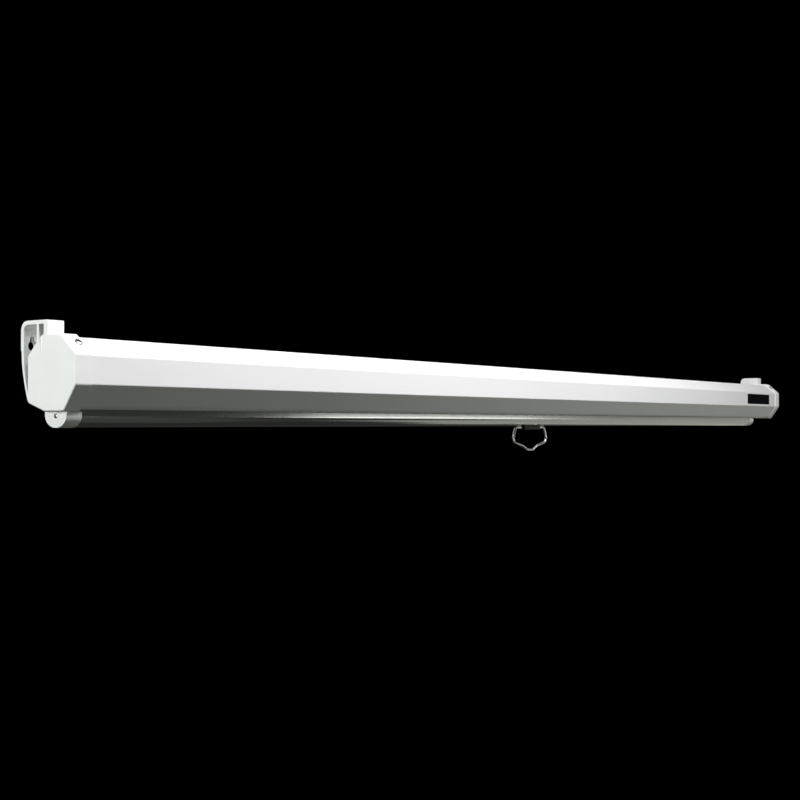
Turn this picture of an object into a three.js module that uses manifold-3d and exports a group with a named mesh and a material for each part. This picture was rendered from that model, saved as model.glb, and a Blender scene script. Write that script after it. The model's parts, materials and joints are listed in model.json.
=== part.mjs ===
// A manual pull down projector screen, rolled up into its case.
// Millimetres. X runs along the case to the right, Y points back into the wall, Z is up.
// The origin is on the wall, midway between the two hanging screws and at their height.
import * as THREE from 'three';
import { mergeVertices } from 'three/addons/utils/BufferGeometryUtils.js';
import Module from 'manifold-3d';

const wasm = await Module();
wasm.setup();

// Clearances
const seatGap = 0.3; // between two pieces that touch
const runGap = 0.3; // around a shaft or pin in its bore
const screwToRoll = 1; // from a cap screw's tip to the rolled fabric
const overrun = 2; // how far a cutter runs past what it cuts

// Case: a sheet steel octagon, open underneath for the screen
const caseLength = 1932;
const caseDepth = 63.8;
const caseHeight = 67.1;
const caseWall = 0.8;
const caseBend = 2;
const caseFootBend = 8; // below the front, where the sheet turns under towards the slot
const slotBend = 1;
const wallToCase = 11.1;
const hangToCaseTop = -0.4;
const topFrontRun = 20.3;
const topFrontDrop = 16.8;
const bottomFrontRun = 15.8;
const bottomFrontRise = 23.1;
const topRearRun = 18.1;
const topRearDrop = 17.8;
const bottomRearRun = 22.2;
const bottomRearRise = 7.6;
const slotWidth = 10.6;
const slotLip = 4;

// End caps with their brackets
const capWall = 3; // the end wall that closes the case
const capSkirt = 17; // how far the skirt reaches over the case
const capProud = 2.2; // how far the skirt stands out from the case
const capCrown = 1.3; // how much more it stands out above the case
const capEdge = 1.7; // rounding between the end face and the skirt
const bracketRise = 17; // ceiling flange above the case
const flangeThickness = 3.7;
const wallToBracketFront = 37.6;
const frontWallThickness = 5;
const wallToRib = 22.8;
const ribThickness = 2.8;
const strapThickness = 3;
const strapFootThickness = 2.2;
const webThickness = 3;
const bracketCorner = 8.5;
const bracketFrontCorner = 1.2;
const padDrop = 11.4; // foot of the flat pad, below the hanging height
const padStep = 0.9;
const strapFootDrop = 58.8;
const strapSweepPower = 1.8;
const skirtAtStrap = 1.2; // the skirt stands out less behind the strap
const grooveDepth = 2.2;
const grooveDrop = 21;
const keyholeInset = 10; // from the cap's end face
const keyholeRadius = 4.75;
const keyholeDrop = 6.9;
const keySlotRadius = 2.5;
const ceilingHoleRadius = 3;
const wallToCeilingHole = 14;

// Screws: a pan head with a cross recess
const capScrewHeadRadius = 3.7;
const capScrewHeadHeight = 2;
const capScrewShankRadius = 1.9;
const capScrewInset = 15.2; // from the cap's end face
const capScrewFrontShare = 0.4; // along the upper front slope
const capScrewRearShare = 0.5; // along the lower rear slope
const counterboreRadius = 4.9;
const counterboreDepth = 1.3;
const smallHeadRadius = 2.1;
const smallHeadHeight = 1.3;
const smallShankRadius = 1.1;
const barCapScrewLength = 6;
const handleScrewLength = 8;
const recessWidthShare = 0.28; // of the head's radius
const recessReachShare = 0.62;
const recessDepthShare = 0.5; // of the head's height
const headCrownShare = 0.45;

// Badge on the front of the case
const badgeLength = 128;
const badgeHeight = 20.5;
const badgeThickness = 0.8;
const badgeFromEnd = 54.5; // from the case's right end
const badgeDrop = 3.2; // below the upper edge of the front face
const badgeSeat = 0.1;

// Weight bar, and how it hangs in the case
const barDepth = 26.4;
const barHeight = 15.3;
const barSide = 5.3; // height of the upright sides
const barWall = 1.4;
const barMouth = 3; // slit for the fabric
const caseFrontToBar = 31.7; // from the case's front to the bar's middle
const caseToBar = 0.7; // under the case
const barBeyondFabric = 8.4; // at each end
const barEndDrop = 1.8; // the bar's top is lower inside its caps
const barCapSkirt = 17;
const barCapWall = 2;
const barCapProud = 1.9;
const barCapStep = 1.5; // the cap's top is lower in front
const barCapScrewDrop = 4.2;

// Roller, fabric and idle end
const rollerRadius = 18;
const rollerWall = 1;
const capToRoller = 11; // from the left cap's inner face
const lockBay = 96.6; // from the roller's right end to the right cap's inner face
const caseFrontToRoller = 27.9;
const caseTopToRoller = 30.6;
const plugDepth = 18;
const plugFlange = 2;
const idlePinRadius = 3;
const idlePinLength = 27;
const idleBossRadius = 8;
const idleBossDepth = 8;
const bushWall = 2.4;
const rollerBeyondFabric = 13; // at the right end
const fabricThickness = 0.4;
const fabricLength = 1980;
const fabricToSlot = 0.25;
const rodRadius = 2;

// Spring and shaft at the right end
const shaftRadius = 4;
const shaftFlat = 3; // half the width across the flats
const springCoilRadius = 11;
const springWire = 2;
const springLength = 290;
const collarLength = 10;
const collarFromEnd = 18; // from the roller's right end
const anchorLength = 12;
const shaftTail = 2; // beyond the anchor
const shaftBossRadius = 9;
const shaftBossDepth = 36;
const shaftEndPlay = 3;

// Lock: two pawls on the roller drop into a fixed hub
const lockFlangeRadius = 19;
const lockFlangeThickness = 3;
const pawlThickness = 3;
const pawlPivotRadius = 14.5; // from the roller's axis
const pawlStudRadius = 1.2;
const pawlLength = 9;
const pawlWidth = 3;
const pawlAngle = 35; // degrees below level at rest
const hubRadius = 9;
const hubNotchRadius = 6.8;
const hubLength = 10.6;
const hubNotchFrom = 44; // degrees
const hubNotchTo = 84;
const coverRadius = 22;
const coverWall = 1.5;
const coverDepth = 14.5;

// Handle under the bar
const barMiddleToHandle = 8; // towards the left
const clipLength = 78;
const clipThickness = 1;
const clipHalfWidth = 6;
const clipBossLength = 46;
const clipBossWidth = 9;
const clipBossDrop = 6.6;
const bailWire = 1.7; // radius
const bailDrop = 3.3; // pivot below the bar's underside
const bailInset = 12; // where the wire's ends stop, each side of the middle
const bailShoulder = 43;
const bailElbow = 53;
const bailElbowDrop = 21;
const bailKnee = 21;
const bailKneeDrop = 27.8;
const bailLip = 9;
const bailLipDrop = 33.4;
const bailBend = 5; // from a corner to where its bend starts

// Facets
const turnSides = 32;
const screwSides = 16;
const bendSteps = 3;
const sweepSteps = 8;
const bailSides = 10;
const bailSteps = 84;

// Places that follow from the sizes
const caseFront = -(wallToCase + caseDepth);
const caseRear = -wallToCase;
const caseTop = hangToCaseTop;
const caseBottom = caseTop - caseHeight;
const caseEnd = caseLength / 2;
const capReach = capWall + capSkirt;
const capEnd = caseEnd + capWall + seatGap;
const capInner = capEnd - capWall;
const flangeTop = caseTop + bracketRise;
const bracketFront = -wallToBracketFront;

const barCentre = caseFront + caseFrontToBar;
const barTop = caseBottom - caseToBar;
const barBottom = barTop - barHeight;
const barEndTop = barTop - barEndDrop;

const slotRear = barCentre + fabricThickness / 2 + fabricToSlot;
const slotFront = slotRear - slotWidth;

const rollerY = caseFront + caseFrontToRoller;
const rollerZ = caseTop - caseTopToRoller;
const rollerLeft = capToRoller - capInner;
const rollerRight = capInner - lockBay;
const fabricRight = rollerRight - rollerBeyondFabric;
const rollerBore = rollerRadius - rollerWall;
const plugRadius = rollerBore - seatGap;
const rollRadius = Math.sqrt((rollerRadius + seatGap) ** 2 + (fabricLength * fabricThickness) / Math.PI);

const barLeft = rollerLeft - barBeyondFabric;
const barRight = fabricRight + barBeyondFabric;
const handleMiddle = (barLeft + barRight) / 2 - barMiddleToHandle;
const pivotZ = barBottom - bailDrop;
const capScrewSunk = counterboreDepth - seatGap;

// Materials
const finish = (color, roughness, metalness) =>
  new THREE.MeshStandardMaterial({ color, roughness, metalness });
const whitePaint = finish(0xf0f0f2, 0.35, 0.1);
const whitePlastic = finish(0xe8ebe8, 0.5, 0);
const blackGloss = finish(0x08080a, 0.25, 0);
const blackPlastic = finish(0x101010, 0.5, 0);
const barMetal = finish(0x9a9a96, 0.35, 0.9);
const steel = finish(0xb4b4b2, 0.35, 1);
const chrome = finish(0xd8d8d8, 0.15, 1);
const nylon = finish(0xd8d4c4, 0.5, 0);
const fabricWhite = finish(0xf4f4f2, 0.9, 0);
const fabricBlack = finish(0x0c0c0c, 0.9, 0);

// Outlines: points [y, z], counter-clockwise seen from the right end of the case

// The path moved sideways by a distance, to the right of its direction of travel.
function offset(path, distance, closed = true) {
  const count = path.length;
  const edgeNormal = (index) => {
    const [y0, z0] = path[(index + count) % count];
    const [y1, z1] = path[(index + 1 + count) % count];
    const length = Math.hypot(y1 - y0, z1 - z0);
    return [(z1 - z0) / length, (y0 - y1) / length];
  };
  return path.map(([y, z], index) => {
    const before = edgeNormal(closed || index > 0 ? index - 1 : index);
    const after = edgeNormal(closed || index < count - 1 ? index : index - 1);
    const scale = distance / (1 + before[0] * after[0] + before[1] * after[1]);
    return [y + scale * (before[0] + after[0]), z + scale * (before[1] + after[1])];
  });
}

// An arc between two directions, the short way round.
function arc(centreY, centreZ, radius, from, to, steps) {
  const sweep = Math.atan2(Math.sin(to - from), Math.cos(to - from));
  return Array.from({ length: steps + 1 }, (_, step) => {
    const angle = from + (sweep * step) / steps;
    return [centreY + radius * Math.cos(angle), centreZ + radius * Math.sin(angle)];
  });
}

// The path with its corners turned into arcs. radius is one length or one for each corner.
function rounded(path, radius, closed = true) {
  const count = path.length;
  return path.flatMap((corner, index) => {
    const size = Array.isArray(radius) ? radius[index] : radius;
    const isEnd = !closed && (index === 0 || index === count - 1);
    if (isEnd || size === 0) return [corner];
    const toward = (other) => {
      const [y, z] = path[(other + count) % count];
      const length = Math.hypot(y - corner[0], z - corner[1]);
      return [(y - corner[0]) / length, (z - corner[1]) / length];
    };
    const [before, after] = [toward(index - 1), toward(index + 1)];
    const half = Math.acos(before[0] * after[0] + before[1] * after[1]) / 2;
    const middle = [before[0] + after[0], before[1] + after[1]];
    const scale = size / Math.sin(half) / Math.hypot(...middle);
    const centre = [corner[0] + scale * middle[0], corner[1] + scale * middle[1]];
    const reach = size / Math.tan(half);
    const angleOf = (side) =>
      Math.atan2(corner[1] + reach * side[1] - centre[1], corner[0] + reach * side[0] - centre[0]);
    return arc(...centre, size, angleOf(before), angleOf(after), bendSteps);
  });
}

// A strip of even thickness to the left of an open path, with a bend for each of its points.
const strip = (path, thickness, bends = path.map(() => 0)) => [
  ...rounded(path, bends, false),
  ...rounded(
    offset(path, -thickness, false),
    bends.map((bend) => Math.max(bend - thickness, 0)),
    false,
  ).reverse(),
];

const circle = (y, z, radius, sides = turnSides) =>
  Array.from({ length: sides }, (_, side) => {
    const angle = (2 * Math.PI * side) / sides;
    return [y + radius * Math.cos(angle), z + radius * Math.sin(angle)];
  });

const rectangle = (y0, z0, y1, z1) => [[y0, z0], [y1, z0], [y1, z1], [y0, z1]];

// A circle with two flats, one above and one below.
const flatted = (y, z, radius, flat) =>
  circle(y, z, radius).map(([pointY, pointZ]) => [
    pointY,
    z + Math.max(-flat, Math.min(flat, pointZ - z)),
  ]);

const caseCorners = [
  [caseFront + topFrontRun, caseTop],
  [caseFront, caseTop - topFrontDrop],
  [caseFront, caseBottom + bottomFrontRise],
  [caseFront + bottomFrontRun, caseBottom],
  [caseRear - bottomRearRun, caseBottom],
  [caseRear, caseBottom + bottomRearRise],
  [caseRear, caseTop - topRearDrop],
  [caseRear - topRearRun, caseTop],
];
const caseFoot = 3;
const caseBends = caseCorners.map((_, corner) => (corner === caseFoot ? caseFootBend : caseBend));

// The caps follow the case and stand higher above it.
const capCorners = offset(caseCorners, capProud).map(([y, z]) => [y, z > caseTop ? z + capCrown : z]);
const capOutline = (inset) => rounded(offset(capCorners, -inset), caseBend + capProud - inset);

// The bar's outside: upright sides and a half ellipse below, from the rear top round to the front.
function barOutline(proud, top) {
  const half = barDepth / 2 + proud;
  const shoulder = barTop - barSide;
  const depth = barHeight - barSide + proud;
  const below = Array.from({ length: 2 * sweepSteps + 1 }, (_, step) => {
    const angle = (Math.PI * step) / (2 * sweepSteps);
    return [barCentre - half * Math.cos(angle), shoulder - depth * Math.sin(angle)];
  });
  return [[barCentre - half, top], ...below, [barCentre + half, top]];
}

// Solids

const yzx = new THREE.Matrix4().makeBasis(
  new THREE.Vector3(0, 1, 0),
  new THREE.Vector3(0, 0, 1),
  new THREE.Vector3(1, 0, 0),
);
const flat = (points) => points.map(([y, z]) => new THREE.Vector2(y, z));

function solid(geometry) {
  const bare = new THREE.BufferGeometry();
  bare.setAttribute('position', geometry.getAttribute('position'));
  bare.setIndex(geometry.getIndex());
  const merged = mergeVertices(bare);
  return new wasm.Manifold(
    new wasm.Mesh({
      numProp: 3,
      vertProperties: new Float32Array(merged.getAttribute('position').array),
      triVerts: new Uint32Array(merged.getIndex().array),
    }),
  );
}

// An outline in the YZ plane, pulled along X from one place to another.
function prism(outline, fromX, toX, holes = []) {
  const shape = new THREE.Shape(flat(outline));
  shape.holes = holes.map((hole) => new THREE.Path(flat(hole)));
  const depth = Math.abs(toX - fromX);
  const geometry = new THREE.ExtrudeGeometry(shape, { depth, bevelEnabled: false });
  geometry.applyMatrix4(yzx).translate(Math.min(fromX, toX), 0, 0);
  return solid(geometry);
}

const ring = (outer, inner, fromX, toX) =>
  prism(circle(rollerY, rollerZ, outer), fromX, toX, [circle(rollerY, rollerZ, inner)]);

const block = (x0, y0, z0, x1, y1, z1) => prism(rectangle(y0, z0, y1, z1), x0, x1);

// A skin over outlines that lie one behind the other along X, closed at both ends.
function lofted(sections) {
  const ordered = [...sections].sort((a, b) => a.x - b.x);
  const count = ordered[0].outline.length;
  const positions = ordered.flatMap(({ x, outline }) => outline.flatMap(([y, z]) => [x, y, z]));
  const triangles = [];
  for (let row = 0; row < ordered.length - 1; row += 1) {
    for (let i = 0; i < count; i += 1) {
      const next = (i + 1) % count;
      const [a, b] = [row * count + i, row * count + next];
      triangles.push(a, b, b + count, a, b + count, a + count);
    }
  }
  const lastRow = (ordered.length - 1) * count;
  for (let i = 1; i < count - 1; i += 1) {
    triangles.push(0, i + 1, i, lastRow, lastRow + i, lastRow + i + 1);
  }
  const geometry = new THREE.BufferGeometry();
  geometry.setAttribute('position', new THREE.Float32BufferAttribute(positions, 3));
  geometry.setIndex(triangles);
  return solid(geometry);
}

// A round cutter or pin about a line, from one distance along it to another.
function rod(radius, base, direction, from, to, sides = turnSides) {
  const geometry = new THREE.CylinderGeometry(radius, radius, to - from, sides);
  geometry.translate(0, (from + to) / 2, 0);
  const turn = new THREE.Quaternion().setFromUnitVectors(new THREE.Vector3(0, 1, 0), direction);
  geometry.applyQuaternion(turn).translate(base.x, base.y, base.z);
  return solid(geometry);
}

function geometryOf(manifold) {
  const { vertProperties, triVerts } = manifold.getMesh();
  const geometry = new THREE.BufferGeometry();
  geometry.setAttribute('position', new THREE.BufferAttribute(vertProperties, 3));
  geometry.setIndex(new THREE.BufferAttribute(triVerts, 1));
  geometry.computeVertexNormals();
  return geometry;
}

const screen = new THREE.Group();

function add(name, manifold, material) {
  const mesh = new THREE.Mesh(geometryOf(manifold), material);
  mesh.name = name;
  screen.add(mesh);
  return mesh;
}

// Screw places: a point on the skirt's surface and the way the screw's head faces
function slopePlace(side, corner, share) {
  const [start, end] = [capCorners[corner], capCorners[corner + 1]];
  const length = Math.hypot(end[0] - start[0], end[1] - start[1]);
  return {
    base: new THREE.Vector3(
      side * (capEnd - capScrewInset),
      start[0] + share * (end[0] - start[0]),
      start[1] + share * (end[1] - start[1]),
    ),
    outward: new THREE.Vector3(0, end[1] - start[1], start[0] - end[0]).divideScalar(length),
  };
}
const upperFrontSlope = 0;
const lowerRearSlope = 4;
const capScrewPlaces = (side) => ({
  front: slopePlace(side, upperFrontSlope, capScrewFrontShare),
  rear: slopePlace(side, lowerRearSlope, capScrewRearShare),
});

// The cap screws are as long as the roll behind the front slope allows.
function capScrewLength() {
  const { base, outward } = capScrewPlaces(1).front;
  const axisToSkirt = (base.y - rollerY) * outward.y + (base.z - rollerZ) * outward.z;
  return axisToSkirt - rollRadius - screwToRoll - capScrewSunk;
}

// A pan head screw along its own Z axis, head up, with the underside of the head at the origin.
function panScrew(headRadius, headHeight, shankRadius, length) {
  const crown = headHeight * headCrownShare;
  const profile = [
    new THREE.Vector2(0, -length),
    new THREE.Vector2(shankRadius / 2, -length),
    new THREE.Vector2(shankRadius, shankRadius - length),
    new THREE.Vector2(shankRadius, 0),
    new THREE.Vector2(headRadius, 0),
    new THREE.Vector2(headRadius, headHeight - crown),
    new THREE.Vector2(headRadius * Math.cos(Math.PI / 6), headHeight - crown / 3),
    new THREE.Vector2(headRadius / 2, headHeight),
    new THREE.Vector2(0, headHeight),
  ];
  const body = solid(new THREE.LatheGeometry(profile, screwSides).rotateX(Math.PI / 2));
  const depth = 2 * headHeight * recessDepthShare;
  const arm = (wide, long) =>
    solid(new THREE.BoxGeometry(wide, long, depth).translate(0, 0, headHeight));
  const width = headRadius * recessWidthShare;
  const reach = 2 * headRadius * recessReachShare;
  return body.subtract(arm(width, reach)).subtract(arm(reach, width));
}

const smallScrew = (length) => panScrew(smallHeadRadius, smallHeadHeight, smallShankRadius, length);

function addScrew(name, manifold, place, sunk) {
  const mesh = add(name, manifold, steel);
  mesh.quaternion.setFromUnitVectors(new THREE.Vector3(0, 0, 1), place.outward);
  mesh.position.copy(place.base).addScaledVector(place.outward, -sunk);
}

// Case
function buildCasing() {
  const path = [
    [slotRear, caseBottom + slotLip],
    [slotRear, caseBottom],
    ...caseCorners.slice(4),
    ...caseCorners.slice(0, 4),
    [slotFront, caseBottom],
    [slotFront, caseBottom + slotLip],
  ];
  const holes = [-1, 1].flatMap((side) => Object.values(capScrewPlaces(side)));
  const bends = [0, slotBend, ...caseBends.slice(4), ...caseBends.slice(0, 4), slotBend, 0];
  const sheet = prism(strip(path, caseWall, bends), -caseEnd, caseEnd);
  const holeRadius = capScrewShankRadius + runGap;
  const drilled = holes.reduce(
    (left, { base, outward }) =>
      left.subtract(rod(holeRadius, base, outward, -capProud - caseWall - overrun, 0, screwSides)),
    sheet,
  );
  add('casing', drilled, whitePaint);
}

// End caps. side is -1 at the left and 1 at the right; depths run inwards from the end face.
function buildEndCap(side) {
  const at = (depth) => side * (capEnd - depth);
  const [places, skirtEnd] = [capScrewPlaces(side), capReach];

  const edgeSections = Array.from({ length: bendSteps + 1 }, (_, step) => {
    const angle = (Math.PI / 2) * (step / bendSteps);
    const inset = capEdge * (1 - Math.sin(angle));
    return { x: at(capEdge * (1 - Math.cos(angle))), outline: capOutline(inset) };
  });
  const shell = lofted([...edgeSections, { x: at(skirtEnd), outline: capOutline(0) }]);

  // The bracket: a box behind and above the shell, open towards the end face
  const padFoot = -padDrop;
  const sweepHeight = strapFootDrop - padDrop;
  const sweepDepth = wallToCase - capProud / 2 - padStep;
  const strapFace = Array.from({ length: sweepSteps + 1 }, (_, step) => {
    const share = 1 - step / sweepSteps;
    return [-padStep - sweepDepth * share ** strapSweepPower, padFoot - padStep - sweepHeight * share];
  });
  const insideTop = caseTop - caseWall;
  const insideRear = caseRear - caseWall;
  const outside = [
    [insideRear, strapFace[0][1]],
    ...strapFace,
    [0, padFoot],
    ...rounded([[0, padFoot], [0, flangeTop], [bracketFront, flangeTop]], bracketCorner, false).slice(1, -1),
    ...rounded(
      [[0, flangeTop], [bracketFront, flangeTop], [bracketFront, insideTop]],
      bracketFrontCorner,
      false,
    ).slice(1, -1),
    [bracketFront, insideTop],
    [caseRear - topRearRun, insideTop],
    [insideRear, caseTop - topRearDrop],
  ];
  const flangeUnder = flangeTop - flangeThickness;
  const strapTaper = (strapThickness - strapFootThickness) / sweepHeight;
  const strapInside = [...strapFace, [-padStep, flangeUnder]].map(([y, z]) => [
    y - strapThickness + strapTaper * Math.max(0, padFoot - padStep - z),
    z,
  ]);
  const ribRear = -wallToRib;
  const ribFront = ribRear - ribThickness;
  const hangingPocket = rounded(
    [[ribRear, flangeUnder], [ribRear, strapFace[0][1]], ...strapInside],
    [0, 0, ...strapFace.map(() => 0), bracketCorner - strapThickness],
  );
  const frontPocket = rectangle(bracketFront + frontWallThickness, caseBottom, ribFront, flangeUnder);
  const pocketDepth = capReach - webThickness;
  const hanging = prism(hangingPocket, at(-overrun), at(pocketDepth));
  const bracket = prism(outside, at(0), at(capReach))
    .subtract(hanging)
    .subtract(prism(frontPocket, at(-overrun), at(pocketDepth)));
  const behindStrap = hanging.intersect(
    block(at(-overrun), caseRear + skirtAtStrap, strapFace[0][1], at(pocketDepth), 0, flangeUnder),
  );

  // The groove that runs out of the front pocket down the end face
  const grooveMiddle = (bracketFront + frontWallThickness + ribFront) / 2;
  const grooveTop = caseTop + capProud + capCrown;
  const grooveSection = (depth, half, drop) => ({
    x: at(depth),
    outline: [
      [grooveMiddle - half, grooveTop],
      [grooveMiddle, grooveTop - drop],
      [grooveMiddle + half, grooveTop],
    ],
  });
  const grooveHalf = (ribFront - bracketFront - frontWallThickness) / 2;
  const groove = lofted([
    grooveSection(0, grooveHalf, grooveDrop),
    grooveSection(grooveDepth, grooveHalf, seatGap),
  ]).add(
    lofted([grooveSection(-overrun, grooveHalf, grooveDrop), grooveSection(0, grooveHalf, grooveDrop)]),
  );

  const caseWay = rounded(offset(caseCorners, seatGap), caseBends.map((bend) => bend + seatGap));
  const cavity = prism(caseWay, at(capWall), at(capReach + overrun));
  const screenWay = block(
    at(capWall), slotFront, caseBottom - capProud - overrun,
    at(capReach + overrun), slotRear, caseBottom + overrun,
  );
  const boss = side < 0
    ? ring(idleBossRadius, idlePinRadius + runGap, at(capWall - seatGap), at(capWall + idleBossDepth))
    : prism(
      circle(rollerY, rollerZ, shaftBossRadius),
      at(capWall - seatGap),
      at(capWall + shaftBossDepth),
      [flatted(rollerY, rollerZ, shaftRadius + runGap, shaftFlat + runGap)],
    );

  const keyholeX = at(keyholeInset);
  const back = new THREE.Vector3(0, 1, 0);
  const up = new THREE.Vector3(0, 0, 1);
  const throughStrap = [-padStep - strapThickness - overrun, overrun];
  const holes = [
    rod(keyholeRadius, new THREE.Vector3(keyholeX, 0, -keyholeDrop), back, ...throughStrap),
    rod(keySlotRadius, new THREE.Vector3(keyholeX, 0, 0), back, ...throughStrap),
    block(
      keyholeX - keySlotRadius, throughStrap[0], -keyholeDrop,
      keyholeX + keySlotRadius, throughStrap[1], 0,
    ),
    rod(
      ceilingHoleRadius,
      new THREE.Vector3(keyholeX, -wallToCeilingHole, flangeTop),
      up,
      -flangeThickness - overrun,
      overrun,
    ),
    ...Object.values(places).flatMap(({ base, outward }) => [
      rod(counterboreRadius, base, outward, -counterboreDepth, overrun),
      rod(capScrewShankRadius + runGap, base, outward, -capProud - caseWall, overrun, screwSides),
    ]),
  ];
  const drilled = holes.reduce(
    (left, hole) => left.subtract(hole),
    shell.subtract(groove).add(bracket).subtract(behindStrap).subtract(cavity).subtract(screenWay).add(boss),
  );
  const sideName = side < 0 ? 'left' : 'right';
  add(`end_cap_${sideName}`, drilled, whitePlastic);
  const screw = panScrew(capScrewHeadRadius, capScrewHeadHeight, capScrewShankRadius, capScrewLength());
  for (const [where, place] of Object.entries(places)) {
    addScrew(`cap_screw_${sideName}_${where}`, screw, place, capScrewSunk);
  }
}

function buildBadge() {
  const right = caseEnd - badgeFromEnd;
  const top = caseTop - topFrontDrop - badgeDrop;
  const rear = caseFront - badgeSeat;
  const plate = block(right - badgeLength, rear - badgeThickness, top - badgeHeight, right, rear, top);
  add('badge_plate', plate, blackGloss);
}

// Roller
function buildRoller() {
  add('roller_tube', ring(rollerRadius, rollerBore, rollerLeft, rollerRight), steel);

  const bushRadius = idlePinRadius + runGap + bushWall;
  const plugBore = bushRadius + seatGap;
  const leftPlug = ring(plugRadius, plugBore, rollerLeft - seatGap, rollerLeft + plugDepth)
    .add(ring(rollerRadius, plugBore, rollerLeft - seatGap - plugFlange, rollerLeft - seatGap));
  add('roller_plug_left', leftPlug, nylon);
  add(
    'idle_bush',
    ring(bushRadius, idlePinRadius + runGap, rollerLeft - seatGap - plugFlange, rollerLeft + plugDepth),
    nylon,
  );
  const pinStart = seatGap - capInner;
  add(
    'idle_pin',
    prism(circle(rollerY, rollerZ, idlePinRadius), pinStart, pinStart + idlePinLength),
    steel,
  );

  // The right plug carries the lock's flange and the studs that the pawls swing on
  const shaftBore = shaftRadius + runGap;
  const flangeStart = rollerRight + seatGap;
  const flangeEnd = flangeStart + lockFlangeThickness;
  const studEnd = flangeEnd + seatGap + pawlThickness + seatGap;
  const studs = [1, -1].map((way) =>
    prism(
      circle(rollerY, rollerZ + way * pawlPivotRadius, pawlStudRadius, screwSides),
      flangeStart,
      studEnd,
    ),
  );
  const rightPlug = ring(plugRadius, shaftBore, rollerRight - plugDepth + seatGap, flangeStart)
    .add(ring(lockFlangeRadius, shaftBore, flangeStart, flangeEnd))
    .add(studs[0])
    .add(studs[1]);
  add('roller_plug_right', rightPlug, nylon);
}

// Shaft, spring and lock
function buildSpringAndLock() {
  const collarRight = rollerRight - collarFromEnd;
  const collarLeft = collarRight - collarLength;
  const springRight = collarLeft - seatGap;
  const springLeft = springRight - springLength;
  const anchorRight = springLeft - seatGap;
  const anchorLeft = anchorRight - anchorLength;
  const shaftBore = shaftRadius + runGap;
  add('torsion_spring', ring(springCoilRadius, springCoilRadius - springWire, springLeft, springRight), steel);
  add('spring_anchor', ring(plugRadius, shaftBore, anchorLeft, anchorRight), nylon);
  add('spring_collar', ring(springCoilRadius, shaftBore, collarLeft, collarRight), steel);

  const hubLeft = rollerRight + seatGap + lockFlangeThickness + seatGap;
  const shaftEnd = capInner - shaftEndPlay;
  const flatsStart = hubLeft - runGap;
  const shaft = prism(circle(rollerY, rollerZ, shaftRadius), anchorLeft - shaftTail, flatsStart)
    .add(prism(flatted(rollerY, rollerZ, shaftRadius, shaftFlat), flatsStart, shaftEnd));
  add('spring_shaft', shaft, steel);

  const keyed = flatted(rollerY, rollerZ, shaftRadius + runGap, shaftFlat + runGap);
  const hubRight = hubLeft + hubLength;
  const notch = (start) =>
    prism(
      [
        ...arc(rollerY, rollerZ, hubNotchRadius, start + toRadians(hubNotchFrom),
          start + toRadians(hubNotchTo), sweepSteps),
        ...arc(rollerY, rollerZ, hubRadius + overrun, start + toRadians(hubNotchTo),
          start + toRadians(hubNotchFrom), sweepSteps),
      ].reverse(),
      hubLeft - overrun,
      hubRight + overrun,
    );
  const hub = prism(circle(rollerY, rollerZ, hubRadius), hubLeft, hubRight, [keyed])
    .subtract(notch(0))
    .subtract(notch(Math.PI));
  add('ratchet_hub', hub, steel);

  const coverLeft = rollerRight + seatGap + lockFlangeThickness / 2;
  const coverRight = coverLeft + coverDepth;
  const cover = ring(coverRadius, coverRadius - coverWall, coverLeft, coverRight - coverWall)
    .add(prism(circle(rollerY, rollerZ, coverRadius), coverRight - coverWall, coverRight, [keyed]));
  add('lock_cover', cover, nylon);

  // Each pawl is a short lever about its stud, drawn clear of the hub at rest
  const reach = toRadians(pawlAngle);
  const pawl = (way) => {
    const pivot = [rollerY, rollerZ + way * pawlPivotRadius];
    const tip = [
      pivot[0] + way * pawlLength * Math.cos(reach),
      pivot[1] - way * pawlLength * Math.sin(reach),
    ];
    const turn = Math.atan2(tip[1] - pivot[1], tip[0] - pivot[0]);
    const half = pawlWidth / 2;
    const outline = [
      ...circle(...pivot, half, screwSides).filter(([y, z]) =>
        (y - pivot[0]) * Math.cos(turn) + (z - pivot[1]) * Math.sin(turn) < seatGap),
      [tip[0] + half * Math.sin(turn), tip[1] - half * Math.cos(turn)],
      [tip[0] - half * Math.sin(turn), tip[1] + half * Math.cos(turn)],
    ];
    const ordered = [...outline].sort((a, b) => angleAbout(a, pivot, tip) - angleAbout(b, pivot, tip));
    const bore = circle(...pivot, pawlStudRadius + seatGap / 3, screwSides);
    return prism(ordered, hubLeft, hubLeft + pawlThickness, [bore]);
  };
  add('pawl_upper', pawl(1), steel);
  add('pawl_lower', pawl(-1), steel);
}

const toRadians = (degrees) => (degrees * Math.PI) / 180;
const angleAbout = ([y, z], [y0, z0], [y1, z1]) => Math.atan2(z - (z0 + z1) / 2, y - (y0 + y1) / 2);

// Fabric: the roll, its stretch down to the bar, and the rod in its hem
function buildFabric() {
  const [left, right] = [rollerLeft, fabricRight];
  add('fabric_roll', ring(rollRadius, rollerRadius + seatGap, left, right), fabricWhite);

  const rodZ = barTop - barWall - seatGap - fabricThickness - rodRadius;
  const bend = [barCentre, caseBottom + slotLip];
  const reach = rollRadius + seatGap + fabricThickness / 2;
  const [acrossY, acrossZ] = [rollerY - bend[0], rollerZ - bend[1]];
  const distance = Math.hypot(acrossY, acrossZ);
  const direction = Math.atan2(acrossZ, acrossY) - Math.asin(reach / distance);
  const length = Math.sqrt(distance ** 2 - reach ** 2);
  const tangent = [bend[0] + length * Math.cos(direction), bend[1] + length * Math.sin(direction)];
  const path = offset(
    [[barCentre, rodZ + rodRadius + seatGap], bend, tangent],
    fabricThickness / 2,
    false,
  );
  add('fabric_tail', prism(strip(path, fabricThickness), left, right), fabricBlack);
  add('fabric_rod', prism(circle(barCentre, rodZ, rodRadius, screwSides), left, right), nylon);
}

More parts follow.
